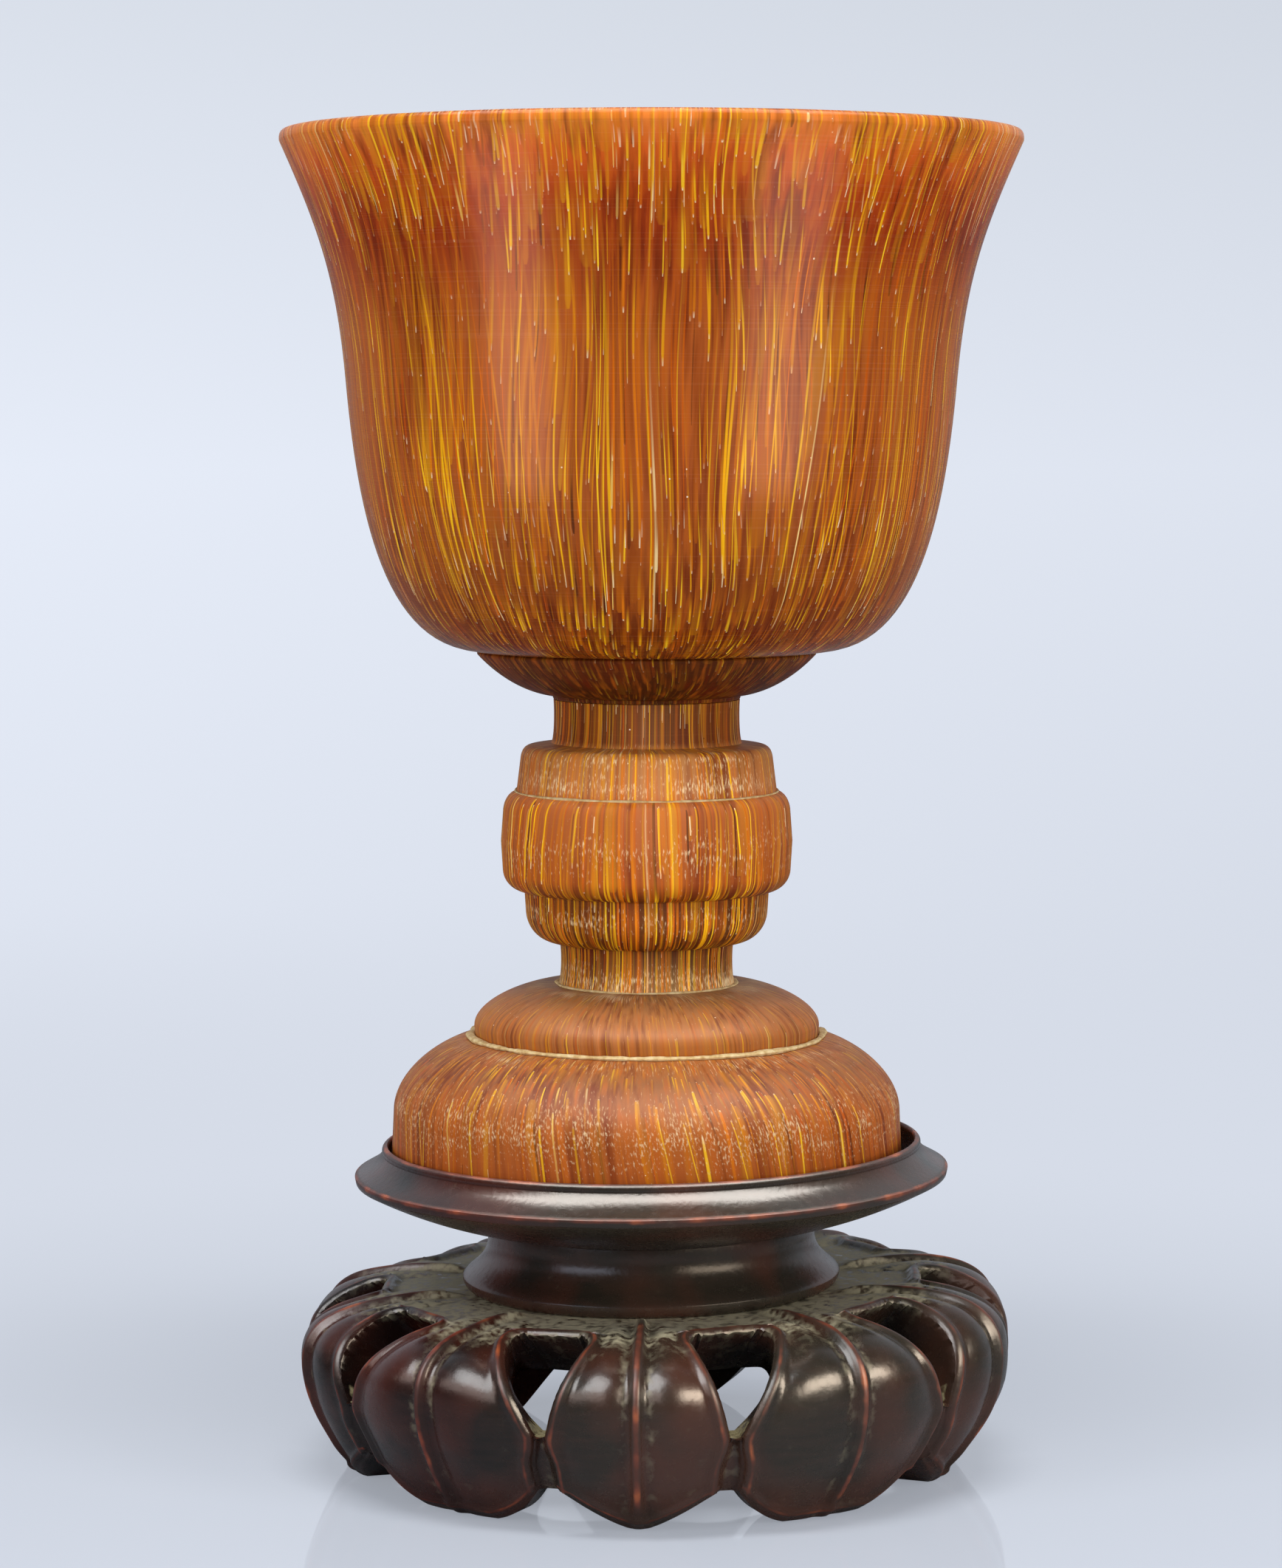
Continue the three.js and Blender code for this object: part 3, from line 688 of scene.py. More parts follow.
def bead_profile(distance, shape):
    """Height of a rolled bead: round at the border, and easing into the petal."""
    height, crest, fall = shape
    outside = np.sqrt(np.clip(1 - ((distance - crest) / crest) ** 2, 0, 1))
    inside = 0.5 + 0.5 * np.cos(math.pi * np.clip((distance - crest) / fall, 0, 1))
    return height * np.where(distance < crest, outside, inside)


def carve(petal):
    """Adds the carved surface of a petal, its inside, and the layers for wear and dust."""
    row = petal["row"]
    on_skirt = row > 2
    radius, level, out_radial, out_up = on_lane(outer_lane, petal["q"])
    to_side, to_low = border_distances(petal)
    from_rib = np.radians(petal["angle"]) * radius
    half_width = np.radians(petal["edge"]) * radius
    in_gap = (petal["angle"] > petal["edge"] + 1e-6) & on_skirt
    below_border = on_skirt & (row > 3 - BORDER)
    plain = in_gap | below_border
    fade = smooth(row, 1.0, opening_start)
    ridge = smooth(row, 0.98, 1.0 + RIB_START) / (1 + (from_rib / RIB_WIDTH) ** 4)
    ridge = ridge * (1 - 0.6 * smooth(row, 2.65, 2.96))
    side_bead = bead_profile(to_side, SIDE_BEAD) * ~plain
    low_bead = bead_profile(to_low, LOW_BEAD) * ~plain
    bead = np.maximum(side_bead, low_bead)
    crease = np.exp(-(((from_rib - CREASE_PLACE) / CREASE_WIDTH) ** 2)) * fade
    across = np.clip((from_rib - 1.0) / np.maximum(half_width - 2.4, 0.4), 0, 1)
    bulge = np.sin(math.pi * across).clip(0, 1) ** 0.8 * fade * (1 - 0.6 * smooth(row, 2.5, 3.0))
    drop = EDGE_DROP * smooth(opening_share(row), 0, 0.6) * np.clip(from_rib / half_width, 0, 1) ** 2
    strip = smooth(to_side, 0, 0.75) * in_gap
    tuck = np.clip(to_low / 0.7, 0, 1) ** 2 * below_border
    relief = RIB_HEIGHT * ridge + PILLOW * bulge + bead - CREASE * crease
    relief = relief - drop - STRIP_DEPTH * strip - LIP_TUCK * tuck
    relief = np.where(row < 1, 0, relief)
    beaded = np.maximum(side_bead / SIDE_BEAD[0], low_bead / LOW_BEAD[0])
    off_waist = smooth(row, 1.05, 1.3)
    crest = np.maximum(ridge**4, beaded**8) * off_waist
    raised = np.maximum(ridge, beaded) * off_waist
    near_waist = 1 - smooth(row, 1.25, opening_start + 0.35)
    hollow = np.clip(crease + strip, 0, 1) * (1 - 0.5 * smooth(row, opening_start, 2.6))
    inside_q = petal["q"] - UNDERCUT_TOP * np.exp(-(((row - opening_start) / 0.2) ** 2))
    inner_radius, inner_level = on_lane(inner_lane, inside_q)[:2]
    open_row = smooth(opening_share(row), 0, 0.1) * (1 - smooth(row, 1.9, 2.1))
    undercut = UNDERCUT * gap_half_angle(row) * open_row * np.clip(from_rib / half_width, 0, 1) ** 4
    petal.update(
        out_radial=np.where(on_skirt, 1, out_radial),
        out_up=np.where(on_skirt, 0, out_up),
        relief=relief,
        outer_radius=radius,
        outer_level=level,
        inner_angle=petal["angle"] - undercut,
        inner_radius=inner_radius,
        inner_level=inner_level,
        roughened=fade * ~below_border,
        wear=crest,
        dust=np.maximum(near_waist, hollow * 0.45) * (1 - 0.85 * raised),
        residue=smooth(row, 1.84, 1.98) * (1 - smooth(row, 2.0, 2.05)),
    )
    return petal


petals = {slim: carve(petal_grid(slim)) for slim in (True, False)}
print("half petals of", petals[True]["angle"].shape, "points")

# %% All the petals round the base
CARVE_WANDER = 0.11
WANDER_SIZE = 4.5
RIGHT_SWELL = 0.55  # the petals on the right stand out a little further than those on the left
WALL_LAYERS = 5
half_columns = len(petal_shares) + len(gap_shares)
take = np.concatenate((np.arange(half_columns)[::-1], np.arange(1, half_columns - 1)))
side = np.where(np.arange(len(take)) < half_columns, -1, 1)
columns = PETALS * len(take)


def all_round(name):
    return np.hstack([petals[number % 2 == 0][name][:, take] for number in range(PETALS)])


ribs = np.repeat(LEAF_TURN - 90 + np.arange(PETALS) * 2 * HALF_PITCH, len(take))
turns = ribs + np.tile(side, PETALS) * all_round("angle")
inner_turns = ribs + np.tile(side, PETALS) * all_round("inner_angle")
outer_points = in_space(turns, all_round("outer_radius"), all_round("outer_level"))
inner_points = in_space(inner_turns, all_round("inner_radius"), all_round("inner_level"))
outward = in_space(turns, all_round("out_radial"), all_round("out_up"))
wander = np.array([noise.noise(Vector(point) / WANDER_SIZE) for point in outer_points.reshape(-1, 3)])
wander = wander.reshape(turns.shape) * CARVE_WANDER * all_round("roughened")
off_ground = smooth(all_round("outer_level"), 1, 9)
off_hub = smooth(all_round("outer_radius"), HUB_RADIUS, foot_r - 4)
swell = RIGHT_SWELL * outer_points[..., 0] / foot_r * off_ground * off_hub
outer_points = outer_points + outward * (all_round("relief") + wander + swell)[..., None]
print(f"{columns} columns of points round the base")

# %% Faces of the base
half_index = np.tile(take, PETALS)
gap_cell = np.minimum(half_index, np.roll(half_index, -1)) >= RIB_TO_EDGE - 1
solid = np.ones((len(row_q) - 1, columns), bool)
solid[opening_row:foot_row, gap_cell] = False
numbers = np.arange(len(row_q) * columns).reshape(len(row_q), columns)
beyond = np.roll(numbers, -1, axis=1)
layer_size = numbers.size
corner_a, corner_b, corner_c, corner_d = numbers[:-1], numbers[1:], beyond[1:], beyond[:-1]
outer_faces = np.stack((corner_a, corner_b, corner_c, corner_d), axis=-1)[solid]
inner_faces = outer_faces[:, ::-1] + WALL_LAYERS * layer_size
empty = np.zeros((1, columns), bool)
free_edges = [
    (corner_d, corner_a, np.vstack((empty, solid[:-1]))),
    (corner_b, corner_c, np.vstack((solid[1:], empty))),
    (corner_a, corner_b, np.roll(solid, 1, axis=1)),
    (corner_c, corner_d, np.roll(solid, -1, axis=1)),
]
wall_faces = []
for start, end, neighbour in free_edges:
    bare = solid & ~neighbour
    for layer in range(WALL_LAYERS):
        near = layer * layer_size
        far = near + layer_size
        wall = (end[bare] + near, start[bare] + near, start[bare] + far, end[bare] + far)
        wall_faces.append(np.stack(wall, axis=-1))
leaf_faces = np.vstack((outer_faces, inner_faces, *wall_faces))
shares = np.linspace(0, 1, WALL_LAYERS + 1)
layers = [outer_points + (inner_points - outer_points) * share for share in shares]
leaf_points = leaned(np.vstack([layer.reshape(-1, 3) for layer in layers]))
used, leaf_faces = np.unique(leaf_faces, return_inverse=True)
leaf_faces = leaf_faces.reshape(-1, 4).tolist()
leaf = make_piece("carved_leaf_base", leaf_points[used], leaf_faces, "stand", "leaf_base")

# %% [markdown]
# ## Where the wood is worn and where dust lies
#
# Handling rubs the dark stain off the crests: the ribs, the rolled beads and the tray's edge show red
# wood. Dust settles where no cloth reaches, on the leaf close to the waist, beside the ribs and between
# the petals, and a cream residue stays at the feet of the openings. All three are stored on the points
# as layers, because the carving already knows where its crests and hollows are.

# %% Wear and dust layers


def paint(made, layer, values):
    attribute = made.data.attributes.new(layer, "FLOAT", "POINT")
    attribute.data.foreach_set("value", np.asarray(values, np.float32))


def paint_leaf(layer, outside, inside):
    """Paints the outside of the leaf, and its walls and inside, each with shares of the carving's layer."""
    carved = all_round(layer).ravel()
    paint(leaf, layer, np.concatenate((carved * outside, np.tile(carved * inside, WALL_LAYERS)))[used])


paint_leaf("wear", 1, 0)
paint_leaf("dust", 1, 0.3)
paint_leaf("residue", 0, 1)


def paint_turned(made, edges):
    """Wear along edges of a turned piece, each given by radius, height and reach in millimetres."""
    places = np.array([vertex.co for vertex in made.data.vertices]) / MM
    radius = np.hypot(places[:, 0], places[:, 1])
    true_height = places[:, 2] - LEAN * places[:, 0]
    worn = np.zeros(len(places))
    for edge_radius, edge_height, reach in edges:
        distance = np.hypot(radius - edge_radius, true_height - edge_height)
        worn = np.maximum(worn, 1 - smooth(distance, reach * 0.35, reach))
    paint(made, "wear", worn)
    for layer in ("dust", "residue"):
        paint(made, layer, np.zeros(len(places)))


paint_turned(tray, [(tray_radius, TRAY_EDGE_TOP, 0.6), (RECESS_RADIUS + 0.2, tray_top, 0.7)])
paint_turned(waist, [])
print("layers:", [layer.name for layer in leaf.data.attributes if layer.domain == "POINT"])

# %% [markdown]
# ## Old wax and dust in the joints
#
# A thick cream line of old wax parts the two tiers of the foot, a thinner one lies under the top tier
# of the knop, and a grey crust has gathered where the lower neck enters the foot. They are raised and
# uneven on the real cup, so each is a thin ring of its own whose width wanders round the joint.

# %% Crusts
CRUST_SIDES = 8
CRUST_STEPS = 420
COARSE_LUMPS = 3.5
FINE_LUMPS = 0.8


def crust(name, radius, level, width, height, seed):
    """An uneven ring in the angle between a level face and an upright one."""
    turn = np.linspace(0, 2 * math.pi, CRUST_STEPS, endpoint=False)
    spots = [Vector((math.cos(t), math.sin(t), seed)) for t in turn]
    coarse = np.array([noise.noise(spot * radius / COARSE_LUMPS) for spot in spots])
    fine = np.array([noise.noise(spot * radius / FINE_LUMPS) for spot in spots])
    amount = np.clip(0.85 + 0.5 * coarse + 0.15 * fine, 0.3, 1.3)
    around = np.linspace(0, 2 * math.pi, CRUST_SIDES, endpoint=False)
    r = radius + np.outer(width * amount, 0.4 + 0.6 * np.cos(around))
    z = level + np.outer(height * amount, 0.25 + 0.75 * np.sin(around))
    vertices = np.stack((r * np.cos(turn)[:, None] + stem_axis, r * np.sin(turn)[:, None], z), axis=-1)
    here = np.arange(CRUST_STEPS)[:, None] * CRUST_SIDES
    following = np.roll(here, -1, axis=0)
    k = np.arange(CRUST_SIDES)
    after_k = (k + 1) % CRUST_SIDES
    faces = np.stack((here + k, following + k, following + after_k, here + after_k), axis=-1)
    return make_piece(name, vertices.reshape(-1, 3), faces.reshape(-1, 4).tolist(), "cup")


crusts = [
    crust("wax_line_of_the_foot", foot_upper_radius + 0.1, foot_joint + 0.02, 0.85, 0.42, 3.0),
    crust("dust_line_of_the_knop", TOP_TIER_RADIUS, TOP_TIER_BOTTOM + 0.02, 0.28, 0.2, 11.0),
    crust("crust_of_the_neck", LOWER_NECK_RADIUS + 0.1, foot_top + 0.02, 0.5, 0.22, 23.0),
]

# %% [markdown]
# ## Materials
#
# One function adds a node to a material: it sets what it is told and links what it is given. Colours
# are written as they look on a screen, and another function turns them to linear light. Patterns are
# given by their size in millimetres: clouds have a size along each axis of the solid, and streaks have
# a width and a length on the unrolled surface.

# %% Nodes and colours


def linear(colour):
    """Linear red, green, blue and alpha of an sRGB hex colour."""
    parts = [int(colour[place:place + 2], 16) / 255 for place in (1, 3, 5)]
    parts = [part / 12.92 if part <= 0.04045 else ((part + 0.055) / 1.055) ** 2.4 for part in parts]
    return (*parts, 1.0)


def node(tree, kind, *inputs, ramp=None, **settings):
    """Adds a node, whose kind may have an operation after a dot.

    Inputs come in the order of its sockets, or by name in a dict. An input is a value, a hex colour, a
    socket, or a node whose first output is meant."""
    kind, dot, operation = kind.partition(".")
    made = tree.nodes.new("ShaderNode" + kind)
    if dot:
        made.operation = operation
    for name, value in settings.items():
        setattr(made, name, value)
    for place, (stop, colour) in enumerate(ramp or ()):
        stops = made.color_ramp.elements
        spot = stops[place] if place < len(stops) else stops.new(stop)
        spot.position = stop
        spot.color = linear(colour)
    sockets = {}
    for number, value in enumerate(inputs):
        sockets.update(value if isinstance(value, dict) else {number: value})
    for key, value in sockets.items():
        if isinstance(value, bpy.types.Node):
            value = value.outputs[0]
        if isinstance(value, bpy.types.NodeSocket):
            tree.links.new(value, made.inputs[key])
        else:
            made.inputs[key].default_value = linear(value) if isinstance(value, str) else value
    return made


def material(name, pieces):
    """Puts a new material on some pieces, and gives back the function that adds a node to it."""
    made = bpy.data.materials.new(name)
    made.use_nodes = True
    made.node_tree.nodes.clear()
    for dressed in pieces:
        dressed.data.materials.clear()
        dressed.data.materials.append(made)
    print(name, "on", [dressed.name for dressed in pieces])
    return functools.partial(node, made.node_tree)


# %% Patterns


def clouds(add, place, sizes, detail):
    """Noise in the solid, whose clouds have one size or a size along each axis."""
    scales = [1 / size for size in np.broadcast_to(sizes, 3)]
    place = add("VectorMath.MULTIPLY", place, scales)
    return add("TexNoise", {"Vector": place, "Scale": 1.0, "Detail": detail})


def streaks(add, across, along, sizes, detail):
    """Noise on the unrolled surface, whose streaks have a width and a length."""
    scaled = [add("Math.MULTIPLY", way, 1 / size) for way, size in zip((across, along), sizes)]
    place = add("CombineXYZ", *scaled)
    return add("TexNoise", {"Vector": place, "Scale": 1.0, "Detail": detail}, noise_dimensions="2D")


# %% [markdown]
# ### Horn
#
# Horn is a bundle of fibres in a translucent red-brown body. A fibre that runs up inside the wall shows
# through the horn: it is orange where it lies deep, yellow near the surface, and white where the lathe
# cut its end. So the pattern is not drawn on the surface. Each fibre has a place in the solid, given by
# its arc round the axis and its radius, and what shows is how deep it lies below the point. On the
# steep wall that gives long streaks with bright lower ends, on the flare short strokes, and on flat
# faces dots, as on the real cup.

# %% Fibres of the horn
BRIGHT = [(0.0, "#b5450a"), (0.2, "#cf660a"), (0.55, "#f0b00a"), (0.92, "#f6c424"), (1.0, "#f3dcac")]
AMBER = [(0.0, "#a8450a"), (0.5, "#c8700a"), (1.0, "#dc9a10")]
BANDS = [(0.0, "#a04c0a"), (0.5, "#b96c0a"), (1.0, "#cb8a12")]
BLACK = [(0.0, "#3a1206"), (1.0, "#25100a")]
# Each set of fibres: spacing, reach in depth and width in millimetres, seed, colours, white of the tip and
# strength.
FIBRES = [
    (2.1, 4.2, 1.5, 5.0, BANDS, 0.0, 0.5),
    (1.5, 3.4, 0.6, 23.0, AMBER, 0.0, 0.6),
    (3.1, 2.8, 0.32, 61.0, BLACK, 0.0, 0.75),
    (1.0, 2.8, 0.3, 17.0, AMBER, 0.3, 0.8),
    (1.4, 3.0, 0.3, 41.0, BRIGHT, 0.85, 1.0),
    (1.2, 2.2, 0.24, 77.0, BRIGHT, 0.85, 0.95),
]
# In the bowl and the stem other fibres run up the whole wall. Their reach is a height, and their lower
# ends lie near one level.
LONG_FIBRES = [
    (1.5, 40.0, 0.28, 131.0, BRIGHT, 0.8, 1.0),
    (1.2, 40.0, 0.24, 157.0, BRIGHT, 0.9, 1.0),
    (0.9, 40.0, 0.24, 179.0, AMBER, 0.4, 0.85),
]
LONG_SCATTER = 0.3  # share of the reach over which their ends lie
FIBRE_TILT = 0.1
TILT_CHANGE = 0.03  # per millimetre of arc
TIP_TAPER = (0.07, 0.5)  # share of the reach over which a fibre narrows, and its width left at the end
CUT_END = (0.05, 0.015)  # shares of the reach over which the cut end turns pale
DEEP_COLOUR = "#98430a"
TIP_COLOUR = "#f3dcb0"


def fibres(add, colour, arc, depth, scatter, along, show, kind):
    """Lays one set of fibres over a colour.

    The arc is cut into lanes, and each lane holds one fibre after another as the depth grows. A set's lanes
    tilt along the piece, and the tilt changes slowly round the axis, so sets cross at small angles."""
    spacing, reach, width, seed, colours, tip, strength = kind
    tilt = add("Math.MULTIPLY_ADD", arc, TILT_CHANGE, seed)
    tilt = add("TexNoise", {"W": tilt, "Scale": 1.0, "Detail": 0.0}, noise_dimensions="1D")
    tilt = add("MapRange", tilt, 0.25, 0.75, -FIBRE_TILT, FIBRE_TILT)
    lane = add("Math.MULTIPLY_ADD", along, tilt, arc)
    lane = add("Math.MULTIPLY_ADD", lane, 1 / spacing, seed)
    number = add("Math.FLOOR", lane)
    start = add("TexWhiteNoise", {"W": number}, noise_dimensions="1D")
    begun = add("Math.MULTIPLY", start, scatter)
    down = add("Math.MULTIPLY_ADD", depth, 1 / reach, begun)
    turn = add("Math.FLOOR", down)
    deep = add("Math.FRACT", down)
    fibre = add("CombineXYZ", number, turn, seed)
    chance = add("TexWhiteNoise", {"Vector": fibre}, noise_dimensions="3D").outputs["Color"]
    chance = add("SeparateColor", chance)
    place = add("Math.MULTIPLY_ADD", chance.outputs[0], 0.5, 0.25)
    across = add("Math.FRACT", lane)
    aside = add("Math.SUBTRACT", across, place)
    aside = add("Math.ABSOLUTE", aside)
    half = width / spacing / 2
    breadth = add("Math.MULTIPLY_ADD", chance.outputs[2], half, half * 0.5)
    taper = add("MapRange", deep, 0, TIP_TAPER[0], TIP_TAPER[1], 1)
    breadth = add("Math.MULTIPLY", breadth, taper)
    aside = add("Math.DIVIDE", aside, breadth)
    thin = add("MapRange", aside, 1, 0.4, 0, 1, interpolation_type="SMOOTHSTEP")
    present = add("MapRange", chance.outputs[1], 0.25, 0.6, 0, strength)
    near = add("MapRange", deep, 0.45, 1, 1, 0)
    shown = thin
    for share in (present, near, show):
        shown = add("Math.MULTIPLY", shown, share)
    fresh_colour = add("ValToRGB", start, ramp=colours)
    fresh = add("MapRange", deep, 0.9, 0.35, 0.25, 1)
    tint = add("MixRGB", fresh, DEEP_COLOUR, fresh_colour)
    cut = add("MapRange", deep, *CUT_END, 0, tip)
    tint = add("MixRGB", cut, tint, TIP_COLOUR)
    return add("MixRGB", shown, colour, tint)


print(len(FIBRES), "sets of fibres in all the horn, and", len(LONG_FIBRES), "more that run up the wall")

# %% [markdown]
# The body between the fibres has dark and glowing strands and wanders slowly in clearness. Over it lie
# fine rings from the lathe, small white specks, and dust in the pores and grooves.

# %% Turned horn
# Lower than real horn's, because an old, finely scratched polish shines little at a low angle.
HORN_IOR = 1.25
BEND = 1.6  # millimetres that the fibres wander to and fro
BEND_SIZE = (8.33, 8.33, 22.2)
BROAD_SIZE = (7.14, 7.14, 50.0)
STRAND_SIZE = (0.833, 2.86)
ZONE_SIZE = (10.0, 10.0, 20.0)
# The lathe's rings lie closer on the real cup. They are drawn coarser, so that they show.
RING_SIZE = (66.7, 0.278)
SPECK_SPACING = 1.82
PORE_WIDTH = 0.22
DUST_SIZE = (4.55, 4.55, 2.86)
DARK_STRAND = "#641d05"
GLOWING_STRAND = "#bf5c10"
RING_COLOUR = "#c08048"
SPECK_COLOUR = "#e6cfae"


def solid_place(add, axis, arc_radius, lean, slant):
    """Place of a point from the axis, and its arc round it, depth and height, in millimetres."""
    place = add("VectorMath.SCALE", add("TexCoord").outputs["Object"], {"Scale": 1 / MM})
    place = add("VectorMath.SUBTRACT", place, (axis, 0, 0))
    parts = add("SeparateXYZ", place)
    height = parts.outputs[2]
    flat = add("VectorMath.MULTIPLY", place, (1, 1, 0))
    radius = add("VectorMath.LENGTH", flat).outputs["Value"]
    forward = add("Math.MULTIPLY", parts.outputs[1], -1)
    turn = add("Math.ARCTAN2", parts.outputs[0], forward)
    arc = add("Math.MULTIPLY", turn, arc_radius)
    arc = add("Math.MULTIPLY_ADD", clouds(add, place, BEND_SIZE, 0.0), BEND, arc)
    arc = add("Math.MULTIPLY_ADD", height, slant, arc)
    depth = add("Math.MULTIPLY_ADD", height, lean, radius)
    return place, arc, depth, height


def horn(name, pieces, levels, show, dust_bands, dust_colour, finish, arc_radius, axis=stem_axis, lean=0.0,
         slant=0.0, pore_length=1.0, long_ends=None):
    """Turned horn.

    Levels give the body's colour by height, and show gives how clear the fibres are at the bottom and the
    top. Dust bands give level, spread and strength, the finish gives roughness and level of gloss, and long
    ends give the level at which long fibres end."""
    add = material(name, pieces)
    place, arc, depth, height = solid_place(add, axis, arc_radius, lean, slant)

    low, high = levels[0][0], levels[-1][0]
    share = add("MapRange", height, low, high, 0, 1)
    colour = add("ValToRGB", share, ramp=[((z - low) / (high - low), tint) for z, tint in levels])
    strand = streaks(add, arc, depth, STRAND_SIZE, 3.0)
    dark = add("Math.ADD", strand, clouds(add, place, BROAD_SIZE, 2.0))
    dark = add("MapRange", dark, 1.05, 0.72, 0, 0.75)
    colour = add("MixRGB", dark, colour, DARK_STRAND)
    glow = add("MapRange", strand, 0.52, 0.75, 0, 0.4)
    colour = add("MixRGB", glow, colour, GLOWING_STRAND)

    zone = add("MapRange", clouds(add, place, ZONE_SIZE, 1.0), 0.36, 0.6, 0.5, 1)
    clear = add("MapRange", share, 0.6, 0.85, *show)
    zone = add("Math.MULTIPLY", zone, clear)
    along = add("Math.SUBTRACT", height, (low + high) / 2)
    for kind in FIBRES:
        colour = fibres(add, colour, arc, depth, 1.0, along, zone, kind)
    if long_ends is not None:
        above = add("Math.SUBTRACT", height, long_ends)
        for kind in LONG_FIBRES:
            colour = fibres(add, colour, arc, above, LONG_SCATTER, along, zone, kind)

    rings = streaks(add, arc, height, RING_SIZE, 1.0)
    pale = add("MapRange", rings, 0.56, 0.75, 0, 0.03)
    colour = add("MixRGB", pale, colour, RING_COLOUR)
    specks = add("TexVoronoi", {"Vector": place, "Scale": 1 / SPECK_SPACING})
    chance = add("SeparateColor", specks.outputs["Color"])
    size = add("MapRange", chance, 0.75, 1, 0, 0.06)
    dots = add("Math.LESS_THAN", specks, size)
    colour = add("MixRGB", dots, colour, SPECK_COLOUR)

    grime = streaks(add, arc, height, (PORE_WIDTH, pore_length), 2.0)
    dust = None
    for level, spread, strength in dust_bands:
        off = add("Math.SUBTRACT", height, level)
        off = add("Math.ABSOLUTE", off)
        band = add("MapRange", off, spread, 0, 0, strength, interpolation_type="SMOOTHSTEP")
        dust = add("Math.MAXIMUM", band, dust or 0.0)
    lie = add("MapRange", clouds(add, place, DUST_SIZE, 2.0), 0.35, 0.65, 0.55, 1.2)
    dust = add("Math.MULTIPLY", dust, lie)
    cover = add("Math.ADD", grime, dust)
    cover = add("MapRange", cover, 0.78, 1.05, 0, 0.9)
    colour = add("MixRGB", cover, colour, dust_colour)

    rough = add("Math.MULTIPLY_ADD", cover, 0.35, finish[0])
    rough = add("Math.MULTIPLY_ADD", rings, 0.12, rough)
    bump = add("Bump", {"Strength": 0.045, "Distance": 0.00006, "Height": rings})
    surface = add("BsdfPrincipled", {
        "Base Color": colour,
        "Roughness": rough,
        "IOR": HORN_IOR,
        "Specular IOR Level": finish[1],
        "Normal": bump,
    })
    add("OutputMaterial", surface)


# %% [markdown]
# The bowl is polished, so its horn is clear red-brown. Its colour darkens towards the bottom, where the
# belly turns under, and the bright orange at the thin lip is painted glow of light through the thin horn.
# The collar is painted darkest, as shade under the bowl. The stem was harder to polish: it is browner,
# and dust fills its grooves, and its low tier and upper neck are painted darker, as shade under the
# tier above and under the bowl. The foot is between bowl and stem, and its fibres slant.

# %% Horn of the bowl, stem and foot
horn(
    "polished_horn", [bowl],
    [
        (bowl_bottom, "#5c240a"),
        (bowl_bottom + 5.0, "#74330b"),
        (bowl_bottom + 10.0, "#8c4416"),
        (bowl_bottom + 18.0, "#9c4d20"),
        (rim_top - 22.0, "#a2501e"),
        (rim_top - 12.0, "#90300a"),
        (rim_top - 8.0, "#a43a08"),
        # Painted glow: these bright orange levels at the lip stand in for light shining through the thin
        # horn.
        (rim_top - 4.0, "#cc5618"),
        (rim_top - 0.6, "#e07c30"),
        (rim_top, "#b0602e"),
    ],
    (1.0, 0.8), [(rim_top, 0.5, 0.3)], "#c9a98a", (0.2, 0.3), WALL_RADIUS,
    axis=0.0, lean=0.06, long_ends=bowl_bottom + 15.0,
)
# Painted shade: the collar's dark levels stand in for shade under the bowl's belly.
horn(
    "collar_horn", [collar], [(collar_bottom, "#401a07"), (bowl_bottom, "#4f240a")],
    (0.22, 0.3), [(collar_bottom, 0.3, 0.3)], "#8a6a48", (0.45, 0.26), collar_radius,
)
horn(
    "dusty_horn", [stem],
    [
        (foot_top, "#7c5c34"),
        # Painted shade: the low tier's dark levels stand in for shade under the mid tier.
        (KNOP_BOTTOM, "#50280c"),
        (KNOP_BOTTOM + 2.0, "#5c300e"),
        (MID_TIER_BOTTOM, "#603010"),
        (MID_TIER_BOTTOM + 2.0, "#944818"),
        (TOP_TIER_BOTTOM - 1.0, "#a0562a"),
        (TOP_TIER_BOTTOM + 1.0, "#a86c40"),
        (KNOP_TOP, "#a06834"),
        # Painted shade: the upper neck's dark levels stand in for shade under the bowl.
        (KNOP_TOP + 0.6, "#663710"),
        (collar_bottom, "#5e320e"),
    ],
    (1.15, 0.9),
    [
        (foot_top, 5.0, 0.38),
        (KNOP_BOTTOM + 3.5, 3.0, 0.24),
        (MID_TIER_BOTTOM + 5.0, 6.0, 0.2),
        (TOP_TIER_BOTTOM + 1.5, 3.0, 0.28),
        (KNOP_TOP - 1.0, 2.5, 0.26),
    ],
    "#dcc092", (0.45, 0.26), knop_radius, lean=0.1, pore_length=0.8, long_ends=foot_top - 2.0,
)
horn(
    "worn_horn", [foot_upper, foot_lower],
    [
        (recess_floor, "#924216"),
        (recess_floor + 7.0, "#a4561f"),
        (foot_joint - 2.0, "#8f5a34"),
        (foot_joint + 0.1, "#a6622e"),
        (foot_top - 1.5, "#ae7040"),
        (foot_top, "#8a6038"),
    ],
    (0.8, 0.5),
    [(foot_top, 1.0, 0.35), (foot_joint - 0.6, 1.4, 0.25), (recess_floor + 7.5, 7.0, 0.28)],
    "#d8b88c", (0.42, 0.42), foot_radius, slant=0.16, pore_length=0.5,
)

# %% [markdown]
# ### Old wax
#
# The crusts are wax and dust gone hard: cream, matt and grainy, with grains of less than a millimetre.

# %% Wax
WAX_GRAIN = 0.7

add = material("old_wax", crusts)
place = add("TexCoord").outputs["Object"]
grain = add("TexNoise", {"Vector": place, "Scale": 1 / (WAX_GRAIN * MM), "Detail": 5.0})
colour = add("ValToRGB", grain, ramp=[(0.3, "#b8925c"), (0.5, "#d6ba84"), (0.72, "#e8d4a4")])
bump = add("Bump", {"Strength": 0.2, "Distance": 0.0002, "Height": grain})
surface = add("BsdfPrincipled", {"Base Color": colour, "Roughness": 0.8, "Normal": bump})
add("OutputMaterial", surface)
